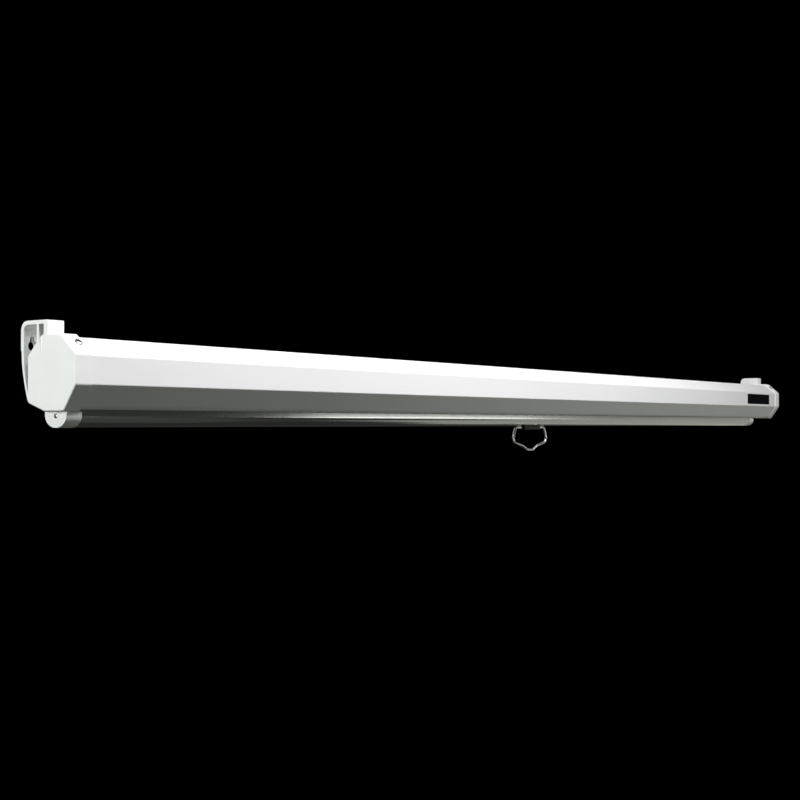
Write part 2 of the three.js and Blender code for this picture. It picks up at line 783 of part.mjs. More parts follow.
// The screw that holds the handle's clip to the bar, from below
const handleScrewPlace = {
  base: new THREE.Vector3(handleMiddle, barCentre, barBottom - clipBossDrop),
  outward: new THREE.Vector3(0, 0, -1),
};

// Weight bar and its caps
function buildBar() {
  const outer = barOutline(0, barTop);
  const inner = offset(barOutline(0, barTop), -barWall);
  const mouthFront = barCentre - barMouth / 2;
  const mouthRear = barCentre + barMouth / 2;
  const under = barTop - barWall;
  const section = [
    ...outer,
    [mouthRear, barTop],
    [mouthRear, under],
    ...inner.reverse(),
    [mouthFront, under],
    [mouthFront, barTop],
  ];
  const endCut = (from, to) =>
    block(from, barCentre - barDepth, barEndTop, to, barCentre + barDepth, barTop + overrun);
  const reach = barCapWall + barCapSkirt + seatGap;
  const { base, outward } = handleScrewPlace;
  const bar = prism(section, barLeft + barCapWall + seatGap, barRight - barCapWall - seatGap)
    .subtract(endCut(barLeft, barLeft + reach))
    .subtract(endCut(barRight - reach, barRight))
    .subtract(rod(smallShankRadius + runGap, base, outward, -clipBossDrop - barHeight / 2, 0, screwSides));
  add('weight_bar', bar, barMetal);

  for (const side of [-1, 1]) {
    const at = (depth) => (side < 0 ? barLeft + depth : barRight - depth);
    const around = barOutline(barCapProud, barEndTop);
    const inside = barOutline(seatGap, barEndTop + overrun);
    const stepped = [
      ...around,
      [barCentre - barMouth, barEndTop],
      [barCentre - barMouth - barCapStep, barEndTop - barCapStep],
      [barCentre - barDepth / 2 - barCapProud, barEndTop - barCapStep],
    ];
    stepped.shift();
    const screwZ = barEndTop - barCapScrewDrop;
    const inward = new THREE.Vector3(-side, 0, 0);
    const place = {
      base: new THREE.Vector3(at(0), barCentre, screwZ),
      outward: inward.clone().negate(),
    };
    const cap = prism(stepped, at(0), at(barCapWall))
      .add(
        prism(around, at(barCapWall / 2), at(barCapWall + barCapSkirt))
          .subtract(prism(inside, at(barCapWall), at(barCapWall + barCapSkirt + overrun))),
      )
      .subtract(rod(smallHeadRadius + runGap, place.base, inward, -overrun, barCapWall / 2, screwSides))
      .subtract(rod(smallShankRadius + runGap, place.base, inward, 0, barCapWall + overrun, screwSides));
    const sideName = side < 0 ? 'left' : 'right';
    add(`bar_cap_${sideName}`, cap, whitePlastic);
    const sunk = (barCapWall - seatGap) / 2;
    addScrew(`bar_cap_screw_${sideName}`, smallScrew(barCapScrewLength), place, sunk);
  }
}

// Handle: a clip that cups the bar's underside, and a wire bail that swings in it
function buildHandle() {
  const saddlePath = barOutline(seatGap + clipThickness, barTop).filter(
    ([y, z]) => Math.abs(y - barCentre) <= clipHalfWidth && z < barTop - barSide,
  );
  const saddle = strip(saddlePath, clipThickness);
  const halfLength = clipLength / 2;
  const bossHalf = clipBossLength / 2;
  const bossTop = barBottom - seatGap - clipThickness / 2;
  const bossBottom = barBottom - clipBossDrop;
  const bossOutline = rounded(
    rectangle(barCentre - clipBossWidth / 2, bossBottom, barCentre + clipBossWidth / 2, bossTop),
    [clipThickness, clipThickness, 0, 0],
  );
  const { base, outward } = handleScrewPlace;
  const headSeat = smallHeadHeight + seatGap;
  const clip = prism(saddle, handleMiddle - halfLength, handleMiddle + halfLength)
    .add(prism(bossOutline, handleMiddle - bossHalf, handleMiddle + bossHalf))
    .subtract(
      prism(
        circle(barCentre, pivotZ, bailWire + runGap, screwSides),
        handleMiddle - bossHalf - overrun,
        handleMiddle + bossHalf + overrun,
      ),
    )
    .subtract(rod(smallHeadRadius + runGap, base, outward, -headSeat, overrun, screwSides))
    .subtract(rod(smallShankRadius + runGap, base, outward, -clipBossDrop - overrun, 0, screwSides));
  add('handle_clip', clip, blackPlastic);
  addScrew('handle_screw', smallScrew(handleScrewLength), handleScrewPlace, headSeat - seatGap / 2);

  const half = [
    [bailInset, 0],
    [bailShoulder, 0],
    [bailElbow, bailElbowDrop],
    [bailKnee, bailKneeDrop],
    [bailLip, bailLipDrop],
  ];
  const corners = [...half.map(([x, drop]) => [-x, drop]), ...[...half].reverse()].map(
    ([x, drop]) => new THREE.Vector3(handleMiddle + x, barCentre, pivotZ - drop),
  );
  const towards = (from, to) => to.clone().sub(from).setLength(bailBend).add(from);
  const line = new THREE.CurvePath();
  let last = corners[0];
  corners.slice(1, -1).forEach((corner, index) => {
    const [bendStart, bendEnd] = [towards(corner, corners[index]), towards(corner, corners[index + 2])];
    line.add(new THREE.LineCurve3(last, bendStart));
    line.add(new THREE.QuadraticBezierCurve3(bendStart, corner, bendEnd));
    last = bendEnd;
  });
  line.add(new THREE.LineCurve3(last, corners.at(-1)));
  const section = new THREE.Shape(flat(circle(0, 0, bailWire, bailSides)));
  const wire = new THREE.ExtrudeGeometry(section, { steps: bailSteps, extrudePath: line });
  add('handle_bail', solid(wire), chrome);
}

buildCasing();
buildEndCap(-1);
buildEndCap(1);
buildBadge();
buildRoller();
buildSpringAndLock();
buildFabric();
buildBar();
buildHandle();

export default screen;
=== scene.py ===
# %% [markdown]
# # A pull down projector screen, rolled up in its case
#
# A long steel case with eight sides hangs from a moulded cap at each end. The screen is rolled
# up inside it, and a weight bar with a wire handle closes the slot underneath. The construction
# model gives every piece its size, its place and its body, and stays fixed. This lesson dresses
# it: each step first says what the piece is on the real screen, then makes it.

# %% Load the construction model as a fixed frame
import json
import math

import bmesh
import bpy
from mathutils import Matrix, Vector


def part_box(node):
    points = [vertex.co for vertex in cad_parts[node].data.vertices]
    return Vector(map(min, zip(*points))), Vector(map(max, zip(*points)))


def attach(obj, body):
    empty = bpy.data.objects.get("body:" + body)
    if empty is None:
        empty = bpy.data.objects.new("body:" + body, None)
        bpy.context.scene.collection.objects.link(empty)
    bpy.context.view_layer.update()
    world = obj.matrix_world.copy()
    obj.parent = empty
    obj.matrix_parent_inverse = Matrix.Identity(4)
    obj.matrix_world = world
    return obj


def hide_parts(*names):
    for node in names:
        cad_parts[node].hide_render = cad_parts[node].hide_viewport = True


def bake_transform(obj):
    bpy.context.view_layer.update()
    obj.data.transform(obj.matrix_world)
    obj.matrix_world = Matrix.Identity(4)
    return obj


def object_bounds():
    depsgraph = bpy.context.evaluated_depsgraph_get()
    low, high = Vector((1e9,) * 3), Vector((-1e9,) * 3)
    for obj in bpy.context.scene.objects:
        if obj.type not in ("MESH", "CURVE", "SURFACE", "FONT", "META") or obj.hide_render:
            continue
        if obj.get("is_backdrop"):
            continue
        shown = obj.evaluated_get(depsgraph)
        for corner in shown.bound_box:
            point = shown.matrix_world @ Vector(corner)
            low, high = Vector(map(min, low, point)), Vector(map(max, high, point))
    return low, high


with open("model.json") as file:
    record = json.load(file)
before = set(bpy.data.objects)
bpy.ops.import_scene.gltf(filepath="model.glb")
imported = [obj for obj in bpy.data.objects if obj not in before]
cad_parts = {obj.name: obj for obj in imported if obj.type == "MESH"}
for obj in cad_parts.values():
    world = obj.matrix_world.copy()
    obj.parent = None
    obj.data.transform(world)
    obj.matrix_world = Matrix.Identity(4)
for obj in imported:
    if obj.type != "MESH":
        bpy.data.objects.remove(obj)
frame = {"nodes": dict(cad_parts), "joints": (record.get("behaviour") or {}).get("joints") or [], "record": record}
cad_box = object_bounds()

MM = 0.001
DEGREE = math.pi / 180
scene = bpy.context.scene
nodes = frame["nodes"]

# %% [markdown]
# ## The camera
#
# The screen is nearly two metres long, and the picture is taken from close to its left end, a
# little below the case. That makes the left cap large and the right one small. The place and
# the lens were found by fitting the long edges of the case and the corners of the left cap.

# %% Put the camera where the picture was taken from
CAMERA_PLACE = (-1.7787, -1.0080, -0.0815)
CAMERA_TURN = 55.03 * DEGREE
CAMERA_LIFT = 1.094 * DEGREE
SENSOR_WIDTH_MM = 36
LENS_MM = 58.5
PICTURE_SHIFT = -0.00125
NEAREST_SEEN = 0.02

camera = bpy.data.objects.new("camera", bpy.data.cameras.new("camera"))
scene.collection.objects.link(camera)
camera.location = CAMERA_PLACE
camera.rotation_euler = (math.pi / 2 + CAMERA_LIFT, 0, -CAMERA_TURN)
camera.data.sensor_width = SENSOR_WIDTH_MM
camera.data.lens = LENS_MM
camera.data.shift_y = PICTURE_SHIFT
camera.data.clip_start = NEAREST_SEEN
scene.camera = camera

# %% [markdown]
# ## Small tools for node trees
#
# Materials and Geometry Nodes are both trees of nodes. One helper adds a node to either kind:
# it sets the node's options, then gives each input a number or a link. A tree then reads like
# a sum, from the inside out.


# %% Add one node with its inputs
def node(tree, kind, inputs=(), **options):
    """A new node. inputs maps a socket's name or number to a value or to another socket."""
    made = tree.nodes.new(kind)
    for option, value in options.items():
        setattr(made, option, value)
    for socket, value in dict(inputs).items():
        if isinstance(value, bpy.types.NodeSocket):
            tree.links.new(value, made.inputs[socket])
        else:
            made.inputs[socket].default_value = value
    return made


# %% [markdown]
# ## Finishes
#
# Nothing on a real screen has one flat colour. Paint has a fine orange peel, moulded plastic
# keeps the grain of its mould, and drawn metal has lines along its length. Each finish starts
# from the same shader and adds that detail in real sizes, read from the object's own
# coordinates, so the grain is the same on a long part and on a short one. Colour, roughness
# and relief each get a noise of their own size, because on a real surface they don't coincide.


# %% Start a finish
def new_finish(name, color, roughness, metallic=0.0, **sockets):
    """A material, its tree, its shader and its place on the object. sockets names further inputs."""
    material = bpy.data.materials.new(name)
    material.use_nodes = True
    tree = material.node_tree
    shader = tree.nodes["Principled BSDF"]
    shader.inputs["Base Color"].default_value = (*color, 1)
    shader.inputs["Roughness"].default_value = roughness
    shader.inputs["Metallic"].default_value = metallic
    for socket, value in sockets.items():
        shader.inputs[socket.replace("_", " ")].default_value = value
    place = node(tree, "ShaderNodeTexCoord").outputs["Object"]
    return material, tree, shader, place


def join(tree, source, shader, socket):
    tree.links.new(source, shader.inputs[socket])


# %% Make the kinds of detail that finishes share
def grain(tree, place, size, detail=2.0, stretch=(1, 1, 1)):
    """Noise with spots about size metres across. A small stretch makes them longer on its axis."""
    scaled = node(tree, "ShaderNodeMapping", {"Vector": place, "Scale": stretch})
    noise = node(tree, "ShaderNodeTexNoise",
                 {"Vector": scaled.outputs["Vector"], "Scale": 1 / size, "Detail": detail})
    return noise.outputs["Fac"]


def spread(tree, value, low, high, start=0.3, end=0.7):
    """The value's range from start to end turned into low to high."""
    return node(tree, "ShaderNodeMapRange", {"Value": value, "From Min": start, "From Max": end,
                                             "To Min": low, "To Max": high}).outputs["Result"]


def product(tree, first, second):
    return node(tree, "ShaderNodeMath", {0: first, 1: second}, operation="MULTIPLY").outputs[0]


def blend_colors(tree, factor, first, second):
    # Inputs 6 and 7 and output 2 are the mix node's sockets for colours
    mix = node(tree, "ShaderNodeMix", {0: factor, 6: first, 7: second}, data_type="RGBA")
    return mix.outputs[2]


def clouded(tree, place, size, detail, first, second, stretch=(1, 1, 1)):
    """Two close tones, mixed in soft clouds of about this size."""
    clouds = spread(tree, grain(tree, place, size, detail, stretch), 0, 1)
    return blend_colors(tree, clouds, first, second)


def relief(tree, height, depth, under=None):
    """Bumps of about depth metres. under is the relief that this one lies on."""
    inputs = {"Height": height, "Distance": depth}
    if under is not None:
        inputs["Normal"] = under
    return node(tree, "ShaderNodeBump", inputs).outputs["Normal"]


# %% [markdown]
# ### White paint and white plastic
#
# The case is steel with a baked powder coat: a cool white with a half gloss and a soft orange
# peel about a millimetre across. The caps are moulded in a white that is a touch greener, and
# their surface is duller, with the fine grain of a spark-eroded mould. Both also have a broad,
# faint unevenness, and a little dust on the faces that look up.


# %% Mix the two whites
DUST = (0.50, 0.48, 0.45, 1)
DUST_SPOT = 4 * MM
# The upward part of a face's direction at which dust starts to stay, and at which it all stays
DUST_STARTS, DUST_FULL = 0.86, 1.0


def dusted(tree, place, clean, least, most):
    """The clean colour, with a thin film of dust on faces that look up."""
    normal = node(tree, "ShaderNodeNewGeometry").outputs["Normal"]
    up = node(tree, "ShaderNodeSeparateXYZ", {0: normal}).outputs["Z"]
    flat = spread(tree, up, 0, 1, start=DUST_STARTS, end=DUST_FULL)
    spots = spread(tree, grain(tree, place, DUST_SPOT, detail=6), least, most)
    return blend_colors(tree, product(tree, flat, spots), clean, DUST)


def make_white_paint():
    material, tree, shader, place = new_finish("white_paint", (0.80, 0.80, 0.81), 0.36)
    clean = clouded(tree, place, 250 * MM, 3, (0.815, 0.812, 0.825, 1), (0.785, 0.787, 0.795, 1))
    join(tree, dusted(tree, place, clean, 0.02, 0.22), shader, "Base Color")
    gloss = spread(tree, grain(tree, place, 18 * MM, detail=4), 0.31, 0.42)
    join(tree, gloss, shader, "Roughness")
    peel = relief(tree, grain(tree, place, 1.1 * MM, detail=1), 0.04 * MM)
    waves = relief(tree, grain(tree, place, 50 * MM), 0.4 * MM, under=peel)
    join(tree, waves, shader, "Normal")
    return material


def make_white_plastic():
    material, tree, shader, place = new_finish("white_plastic", (0.80, 0.81, 0.80), 0.45)
    clean = clouded(tree, place, 30 * MM, 3, (0.815, 0.825, 0.815, 1), (0.785, 0.795, 0.785, 1))
    join(tree, dusted(tree, place, clean, 0.02, 0.25), shader, "Base Color")
    gloss = spread(tree, grain(tree, place, 3 * MM, detail=4), 0.40, 0.52)
    join(tree, gloss, shader, "Roughness")
    sparks = relief(tree, grain(tree, place, 0.5 * MM, detail=3), 0.05 * MM)
    waves = relief(tree, grain(tree, place, 20 * MM), 0.25 * MM, under=sparks)
    join(tree, waves, shader, "Normal")
    return material


white_paint = make_white_paint()
white_plastic = make_white_plastic()
print("whites:", white_paint.name, white_plastic.name)

# %% [markdown]
# ### Blacks
#
# The badge is a bare black plate, smooth, with the hairline swirls of a wiped surface. The
# handle's clip is plain moulded black, with a dull grain. Black plastic usually turns grey where
# it mirrors a bright room. Here the surroundings are dark, and both stay black, so the strength
# of their mirror image is turned down.


# %% Mix the two blacks
def make_badge_black():
    material, tree, shader, place = new_finish("badge_black", (0.004, 0.004, 0.005), 0.09,
                                               Specular_IOR_Level=0.03)
    swirl = grain(tree, place, 1.6 * MM, detail=6, stretch=(0.12, 1, 1))
    join(tree, spread(tree, swirl, 0.05, 0.11), shader, "Roughness")
    join(tree, relief(tree, grain(tree, place, 30 * MM), 0.08 * MM), shader, "Normal")
    return material


def make_black_plastic():
    material, tree, shader, place = new_finish("black_plastic", (0.006, 0.006, 0.006), 0.45,
                                               Specular_IOR_Level=0.25)
    tone = clouded(tree, place, 6 * MM, 4, (0.005, 0.005, 0.005, 1), (0.010, 0.010, 0.009, 1))
    join(tree, tone, shader, "Base Color")
    join(tree, spread(tree, grain(tree, place, 1 * MM, detail=3), 0.38, 0.55), shader, "Roughness")
    join(tree, relief(tree, grain(tree, place, 0.4 * MM), 0.06 * MM), shader, "Normal")
    return material


badge_black = make_badge_black()
black_plastic = make_black_plastic()
print("blacks:", badge_black.name, black_plastic.name)

# %% [markdown]
# ### Metals
#
# The bar is drawn aluminium under a satin anodised skin, with long faint lines that the die
# left. They show as a slightly uneven polish, not as grooves, so they are in the roughness
# alone. Screws and shafts are zinc plated steel, which is cloudy. The handle's wire is chromed,
# and handling has dulled it a little.


# %% Mix the three metals
METAL = 1.0


def make_bar_aluminium():
    material, tree, shader, place = new_finish("bar_aluminium", (0.55, 0.55, 0.54), 0.16, METAL)
    tone = clouded(tree, place, 50 * MM, 3, (0.57, 0.57, 0.56, 1), (0.51, 0.51, 0.50, 1),
                   stretch=(0.2, 1, 1))
    join(tree, tone, shader, "Base Color")
    lines = grain(tree, place, 5 * MM, detail=1, stretch=(0.02, 1, 1))
    join(tree, spread(tree, lines, 0.14, 0.16), shader, "Roughness")
    return material


def make_steel():
    material, tree, shader, place = new_finish("steel", (0.34, 0.34, 0.33), 0.33, METAL)
    tone = clouded(tree, place, 3 * MM, 5, (0.38, 0.38, 0.37, 1), (0.28, 0.29, 0.30, 1))
    join(tree, tone, shader, "Base Color")
    join(tree, spread(tree, grain(tree, place, 1.2 * MM, detail=3), 0.22, 0.45), shader, "Roughness")
    join(tree, relief(tree, grain(tree, place, 0.4 * MM), 0.02 * MM), shader, "Normal")
    return material


def make_chrome_wire():
    material, tree, shader, place = new_finish("chrome_wire", (0.72, 0.72, 0.72), 0.14, METAL)
    tone = clouded(tree, place, 8 * MM, 3, (0.76, 0.76, 0.76, 1), (0.66, 0.66, 0.65, 1))
    join(tree, tone, shader, "Base Color")
    join(tree, spread(tree, grain(tree, place, 2 * MM, detail=4), 0.08, 0.26), shader, "Roughness")
    join(tree, relief(tree, grain(tree, place, 4 * MM), 0.04 * MM), shader, "Normal")
    return material


bar_aluminium = make_bar_aluminium()
steel = make_steel()
chrome_wire = make_chrome_wire()
print("metals:", bar_aluminium.name, steel.name, chrome_wire.name)

# %% [markdown]
# ### Nylon
#
# The bushes, plugs and the lock's cover are natural nylon: a warm, waxy off-white that is
# slightly mottled where the melt met itself in the mould.


# %% Mix the nylon
def make_nylon():
    material, tree, shader, place = new_finish("nylon", (0.70, 0.68, 0.60), 0.42)
    tone = clouded(tree, place, 8 * MM, 4, (0.73, 0.71, 0.63, 1), (0.66, 0.63, 0.54, 1))
    join(tree, tone, shader, "Base Color")
    join(tree, spread(tree, grain(tree, place, 2 * MM, detail=3), 0.36, 0.50), shader, "Roughness")
    join(tree, relief(tree, grain(tree, place, 0.8 * MM), 0.04 * MM), shader, "Normal")
    return material


nylon = make_nylon()
print("nylon:", len(nylon.node_tree.nodes), "nodes")

# %% [markdown]
# ### The screen's cloth
#
# The screen is vinyl on a glass weave: matte white in front, with a black border and a black
# back so that no light comes through. Its pattern has to follow the cloth as it winds and
# unwinds, so it reads the piece's own map, whose two coordinates are metres of flat cloth: X
# runs across it, and Y down from the slot when the screen is drawn.

# %% Measure the cloth
CLOTH_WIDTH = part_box("fabric_roll")[1].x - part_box("fabric_roll")[0].x
CLOTH_LENGTH = 1980 * MM
BORDER = 17 * MM
THREAD = 0.7 * MM
DROP = next(joint for joint in frame["joints"] if joint["name"] == "screen_drop")["range_m"][1]
# The border is a little taller at the top, as a leader that stays near the case
LEADER = DROP / 100
print("cloth:", round(CLOTH_WIDTH, 3), "m wide, drawn down", DROP, "m")


# %% Mix the cloth's two faces
def weave(tree, flat):
    """A plain weave: two sets of ridges that cross, one along each coordinate."""
    # A wave texture of scale 1 has a ridge every pi / 10 metres
    ridges = {"Vector": flat, "Scale": math.pi / (10 * THREAD), "Distortion": 0.4, "Detail": 1.0}
    warp, weft = (node(tree, "ShaderNodeTexWave", ridges, bands_direction=axis).outputs["Fac"]
                  for axis in ("X", "Y"))
    return product(tree, warp, weft)


def inside(tree, value, low, high):
    """1 where the value lies between low and high, else 0."""
    above = node(tree, "ShaderNodeMath", {0: value, 1: low}, operation="GREATER_THAN")
    below = node(tree, "ShaderNodeMath", {0: value, 1: high}, operation="LESS_THAN")
    return product(tree, above.outputs[0], below.outputs[0])


def make_cloth(name, picture_color, border_color):
    material, tree, shader, _ = new_finish(name, border_color[:3], 0.8, Sheen_Weight=0.15)
    flat = node(tree, "ShaderNodeUVMap", uv_map="flat_cloth").outputs["UV"]
    along = node(tree, "ShaderNodeSeparateXYZ", {0: flat})
    across = inside(tree, along.outputs["X"], BORDER, CLOTH_WIDTH - BORDER)
    down = inside(tree, along.outputs["Y"], BORDER + LEADER, DROP - BORDER)
    tone = blend_colors(tree, product(tree, across, down), border_color, picture_color)
    clouds = spread(tree, grain(tree, flat, 50 * MM, detail=3), 0.93, 1)
    join(tree, blend_colors(tree, clouds, (0, 0, 0, 1), tone), shader, "Base Color")
    join(tree, spread(tree, weave(tree, flat), 0.72, 0.88, 0, 1), shader, "Roughness")
    join(tree, relief(tree, weave(tree, flat), 0.08 * MM), shader, "Normal")
    return material


BORDER_BLACK = (0.012, 0.012, 0.012, 1)
cloth_front = make_cloth("cloth_front", (0.83, 0.83, 0.81, 1), BORDER_BLACK)
cloth_back = make_cloth("cloth_back", (0.018, 0.018, 0.018, 1), BORDER_BLACK)
print("cloth faces:", cloth_front.name, cloth_back.name)

# %% [markdown]
# ## Making and placing pieces
#
# Every finished piece rides on the body of the node that it stands for, and hides the node. The
# record says which body that is.

# %% Put a piece in the place of its nodes
members_of_body = frame["record"]["behaviour"]["bodies"]
body_of = {name: body for body, members in members_of_body.items() for name in members}


def add_piece(name, data):
    piece = bpy.data.objects.new(name, data)
    scene.collection.objects.link(piece)
    return piece


def stand_for(piece, *names):
    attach(piece, body_of[names[0]])
    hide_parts(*names)
    print(piece.name, "stands for", ", ".join(names), "-", len(piece.data.polygons), "faces")


# %% [markdown]
# ### Shading and modifiers
#
# A smooth surface is shaded as if it were round across every edge, so edges past a certain angle
# are marked sharp. Where a large flat face meets a small round, the shading would still lean near
# the round, and the face would look bent. Weighted normals follow the larger face instead. Most
# modifiers are applied as soon as they have done their work, which leaves a plain mesh.

# %% Shade a piece, and turn its modifiers into its mesh
SHARP_ANGLE = 30 * DEGREE
EDGE_STEPS = 2


def smooth(mesh, sharp_angle=SHARP_ANGLE):
    mesh.shade_smooth()
    mesh.set_sharp_from_angle(angle=sharp_angle)


def keep_faces_flat(piece, weight=50):
    """Shading that follows the large faces. A weight of 100 follows nothing else."""
    weighted = piece.modifiers.new("shading", "WEIGHTED_NORMAL")
    weighted.keep_sharp = True
    weighted.weight = weight


def round_edges(piece, radius, from_angle):
    bevel = piece.modifiers.new("edges", "BEVEL")
    bevel.width = radius
    bevel.segments = EDGE_STEPS
    bevel.angle_limit = from_angle


def evaluated_mesh(piece):
    """A plain mesh of the piece, as its modifiers leave it."""
    result = piece.evaluated_get(bpy.context.evaluated_depsgraph_get())
    return bpy.data.meshes.new_from_object(result)


def apply_modifiers(piece, sharp_angle=SHARP_ANGLE):
    mesh = evaluated_mesh(piece)
    piece.modifiers.clear()
    piece.data = mesh
    smooth(mesh, sharp_angle)


# %% [markdown]
# ## Moulded and machined pieces
#
# The construction model gives these their exact shape, but its edges are perfectly sharp, and
# no moulding or stamping has such edges. A copy of each is merged, its edges get a small round,
# and its shading follows the large faces, so that flat faces stay flat.

# %% Copy a node and round its edges
MERGE_WITHIN = 0.002 * MM
FLAT_WITHIN = 0.5 * DEGREE
END_CAP_EDGE = 0.4 * MM
BAR_CAP_EDGE = 0.35 * MM
BADGE_EDGE = 0.2 * MM
CLIP_EDGE = 0.25 * MM


def rounded_copy(name, finish, edge):
    mesh = nodes[name].data.copy()
    mesh.name = name + "_rounded"
    shape = bmesh.new()
    shape.from_mesh(mesh)
    bmesh.ops.remove_doubles(shape, verts=shape.verts, dist=MERGE_WITHIN)
    bmesh.ops.dissolve_limit(shape, angle_limit=FLAT_WITHIN, verts=shape.verts, edges=shape.edges)
    shape.to_mesh(mesh)
    shape.free()
    mesh.materials.clear()
    mesh.materials.append(finish)
    smooth(mesh)
    piece = add_piece(mesh.name, mesh)
    round_edges(piece, edge, SHARP_ANGLE)
    keep_faces_flat(piece, weight=100)
    stand_for(piece, name)


for side in ("left", "right"):
    rounded_copy("end_cap_" + side, white_plastic, END_CAP_EDGE)
    rounded_copy("bar_cap_" + side, white_plastic, BAR_CAP_EDGE)
rounded_copy("badge_plate", badge_black, BADGE_EDGE)
rounded_copy("handle_clip", black_plastic, CLIP_EDGE)

# %% [markdown]
# ## Geometry Nodes: from a tree to a mesh
#
# The rest of the visible pieces follow rules: a section pulled along a line, a wire bent round
# corners, a spiral, a helix, one screw in many places. Each rule is a Geometry Nodes tree with
# named inputs. A carrier object feeds it an outline, and the result is taken as a plain mesh.


# %% Start a tree with named inputs, and run it once
def new_tree(name, **sizes):
    """A tree with a geometry input and output and one input for each size. Returns its two ends."""
    tree = bpy.data.node_groups.new(name, "GeometryNodeTree")
    tree.interface.new_socket("Geometry", in_out="INPUT", socket_type="NodeSocketGeometry")
    tree.interface.new_socket("Geometry", in_out="OUTPUT", socket_type="NodeSocketGeometry")
    kinds = {float: "NodeSocketFloat", int: "NodeSocketInt"}
    for size, value in sizes.items():
        socket = tree.interface.new_socket(size, in_out="INPUT", socket_type=kinds[type(value)])
        socket.default_value = value
    tree.interface.new_socket("finish", in_out="INPUT", socket_type="NodeSocketMaterial")
    return tree, node(tree, "NodeGroupInput").outputs, node(tree, "NodeGroupOutput")


def end_tree(tree, sizes, shape, end):
    """Realize Instances and Set Material, which every tree ends in."""
    real = node(tree, "GeometryNodeRealizeInstances", {"Geometry": shape})
    painted = node(tree, "GeometryNodeSetMaterial",
                   {"Geometry": real.outputs[0], "Material": sizes["finish"]})
    tree.links.new(painted.outputs[0], end.inputs[0])
    print("tree", tree.name, "has", len(tree.nodes), "nodes")


def run_tree(tree, name, source, finish, **sizes):
    """The tree's result for one source mesh, as a new object with a plain mesh."""
    carrier = bpy.data.objects.new(name + "_carrier", source)
    modifier = carrier.modifiers.new("rule", "NODES")
    modifier.node_group = tree
    for socket in tree.interface.items_tree:
        if socket.in_out == "INPUT" and socket.name in sizes:
            modifier[socket.identifier] = sizes[socket.name]
        if socket.name == "finish":
            modifier[socket.identifier] = finish
    scene.collection.objects.link(carrier)
    mesh = evaluated_mesh(carrier)
    mesh.name = name
    bpy.data.objects.remove(carrier)
    return add_piece(name, mesh)


def outline_mesh(name, points, bends=None):
    """An open line of points as a mesh of edges, with the radius that each corner is bent to."""
    mesh = bpy.data.meshes.new(name + "_outline")
    mesh.from_pydata(points, [(i, i + 1) for i in range(len(points) - 1)], [])
    radii = mesh.attributes.new("bend", "FLOAT", "POINT")
    for place, radius in zip(radii.data, bends or [0] * len(points)):
        place.value = radius
    return mesh


# %% Bend a line's corners, and pull a line along X, inside a tree
def bent_line(tree, sizes):
    """The source mesh as a curve, with each corner turned into an arc of its own radius."""
    line = node(tree, "GeometryNodeMeshToCurve", {"Mesh": sizes["Geometry"]})
    radius = node(tree, "GeometryNodeInputNamedAttribute", {"Name": "bend"}, data_type="FLOAT")
    bent = node(tree, "GeometryNodeFilletCurve",
                {"Curve": line.outputs[0], "Count": sizes["bend_points"],
                 "Radius": radius.outputs[0], "Limit Radius": True}, mode="POLY")
    return bent.outputs[0]


def pulled_along_x(tree, curve, length):
    """A ribbon: the curve's edges, pulled out sideways to this length."""
    edge = node(tree, "GeometryNodeCurveToMesh", {"Curve": curve})
    along = node(tree, "ShaderNodeCombineXYZ", {"X": length})
    ribbon = node(tree, "GeometryNodeExtrudeMesh",
                  {"Mesh": edge.outputs[0], "Offset": along.outputs[0], "Offset Scale": 1.0},
                  mode="EDGES")
    return ribbon.outputs["Mesh"]


# %% [markdown]
# ### The case and the bar
#
# Both are one section pulled along a straight line: the case is sheet steel folded in a roll
# former, and the bar is drawn through a die. The tree rounds the corners of the outline and
# turns it into a ribbon of the right length. A wall is then given to the ribbon, towards the
# inside, and its cut edges are rounded.


# %% Build the tree that pulls an outline along X, and give a ribbon its wall
def make_section_tree():
    tree, sizes, end = new_tree("pulled_section", length=1.0, bend_points=8)
    ribbon = pulled_along_x(tree, bent_line(tree, sizes), sizes["length"])
    end_tree(tree, sizes, ribbon, end)
    return tree


CUT_EDGE_ANGLE = 40 * DEGREE


def add_wall(piece, wall, edge):
    solidify = piece.modifiers.new("wall", "SOLIDIFY")
    solidify.thickness = wall
    solidify.offset = -1
    solidify.use_even_offset = True
    round_edges(piece, edge, CUT_EDGE_ANGLE)
    apply_modifiers(piece)


section_tree = make_section_tree()

# %% [markdown]
# The case's outline is an octagon with unequal sides, open underneath. The two edges beside
# the opening are folded up into lips, so that the screen doesn't run over a cut edge. The four
# slopes are given by how far each one cuts into the case's box. The front foot has a much
# larger bend than the rest, which the soft shade under the case shows.

# %% Fold the case
case_low, case_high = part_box("casing")
CASE_WALL = 0.8 * MM
CASE_EDGE = 0.15 * MM
CASE_BEND = 2 * MM
FOOT_BEND = 8 * MM
LIP_BEND = 1 * MM
SLOT_LIP = 4 * MM
SLOT_WIDTH = 10.6 * MM
SLOT_BEHIND_CLOTH = 0.65 * MM
REAR_LOW_DEPTH, REAR_LOW_HEIGHT = 22.2 * MM, 7.6 * MM
REAR_HIGH_DEPTH, REAR_HIGH_HEIGHT = 18.1 * MM, 17.8 * MM
FRONT_HIGH_DEPTH, FRONT_HIGH_HEIGHT = 20.3 * MM, 16.8 * MM
FRONT_LOW_DEPTH, FRONT_LOW_HEIGHT = 15.8 * MM, 23.1 * MM

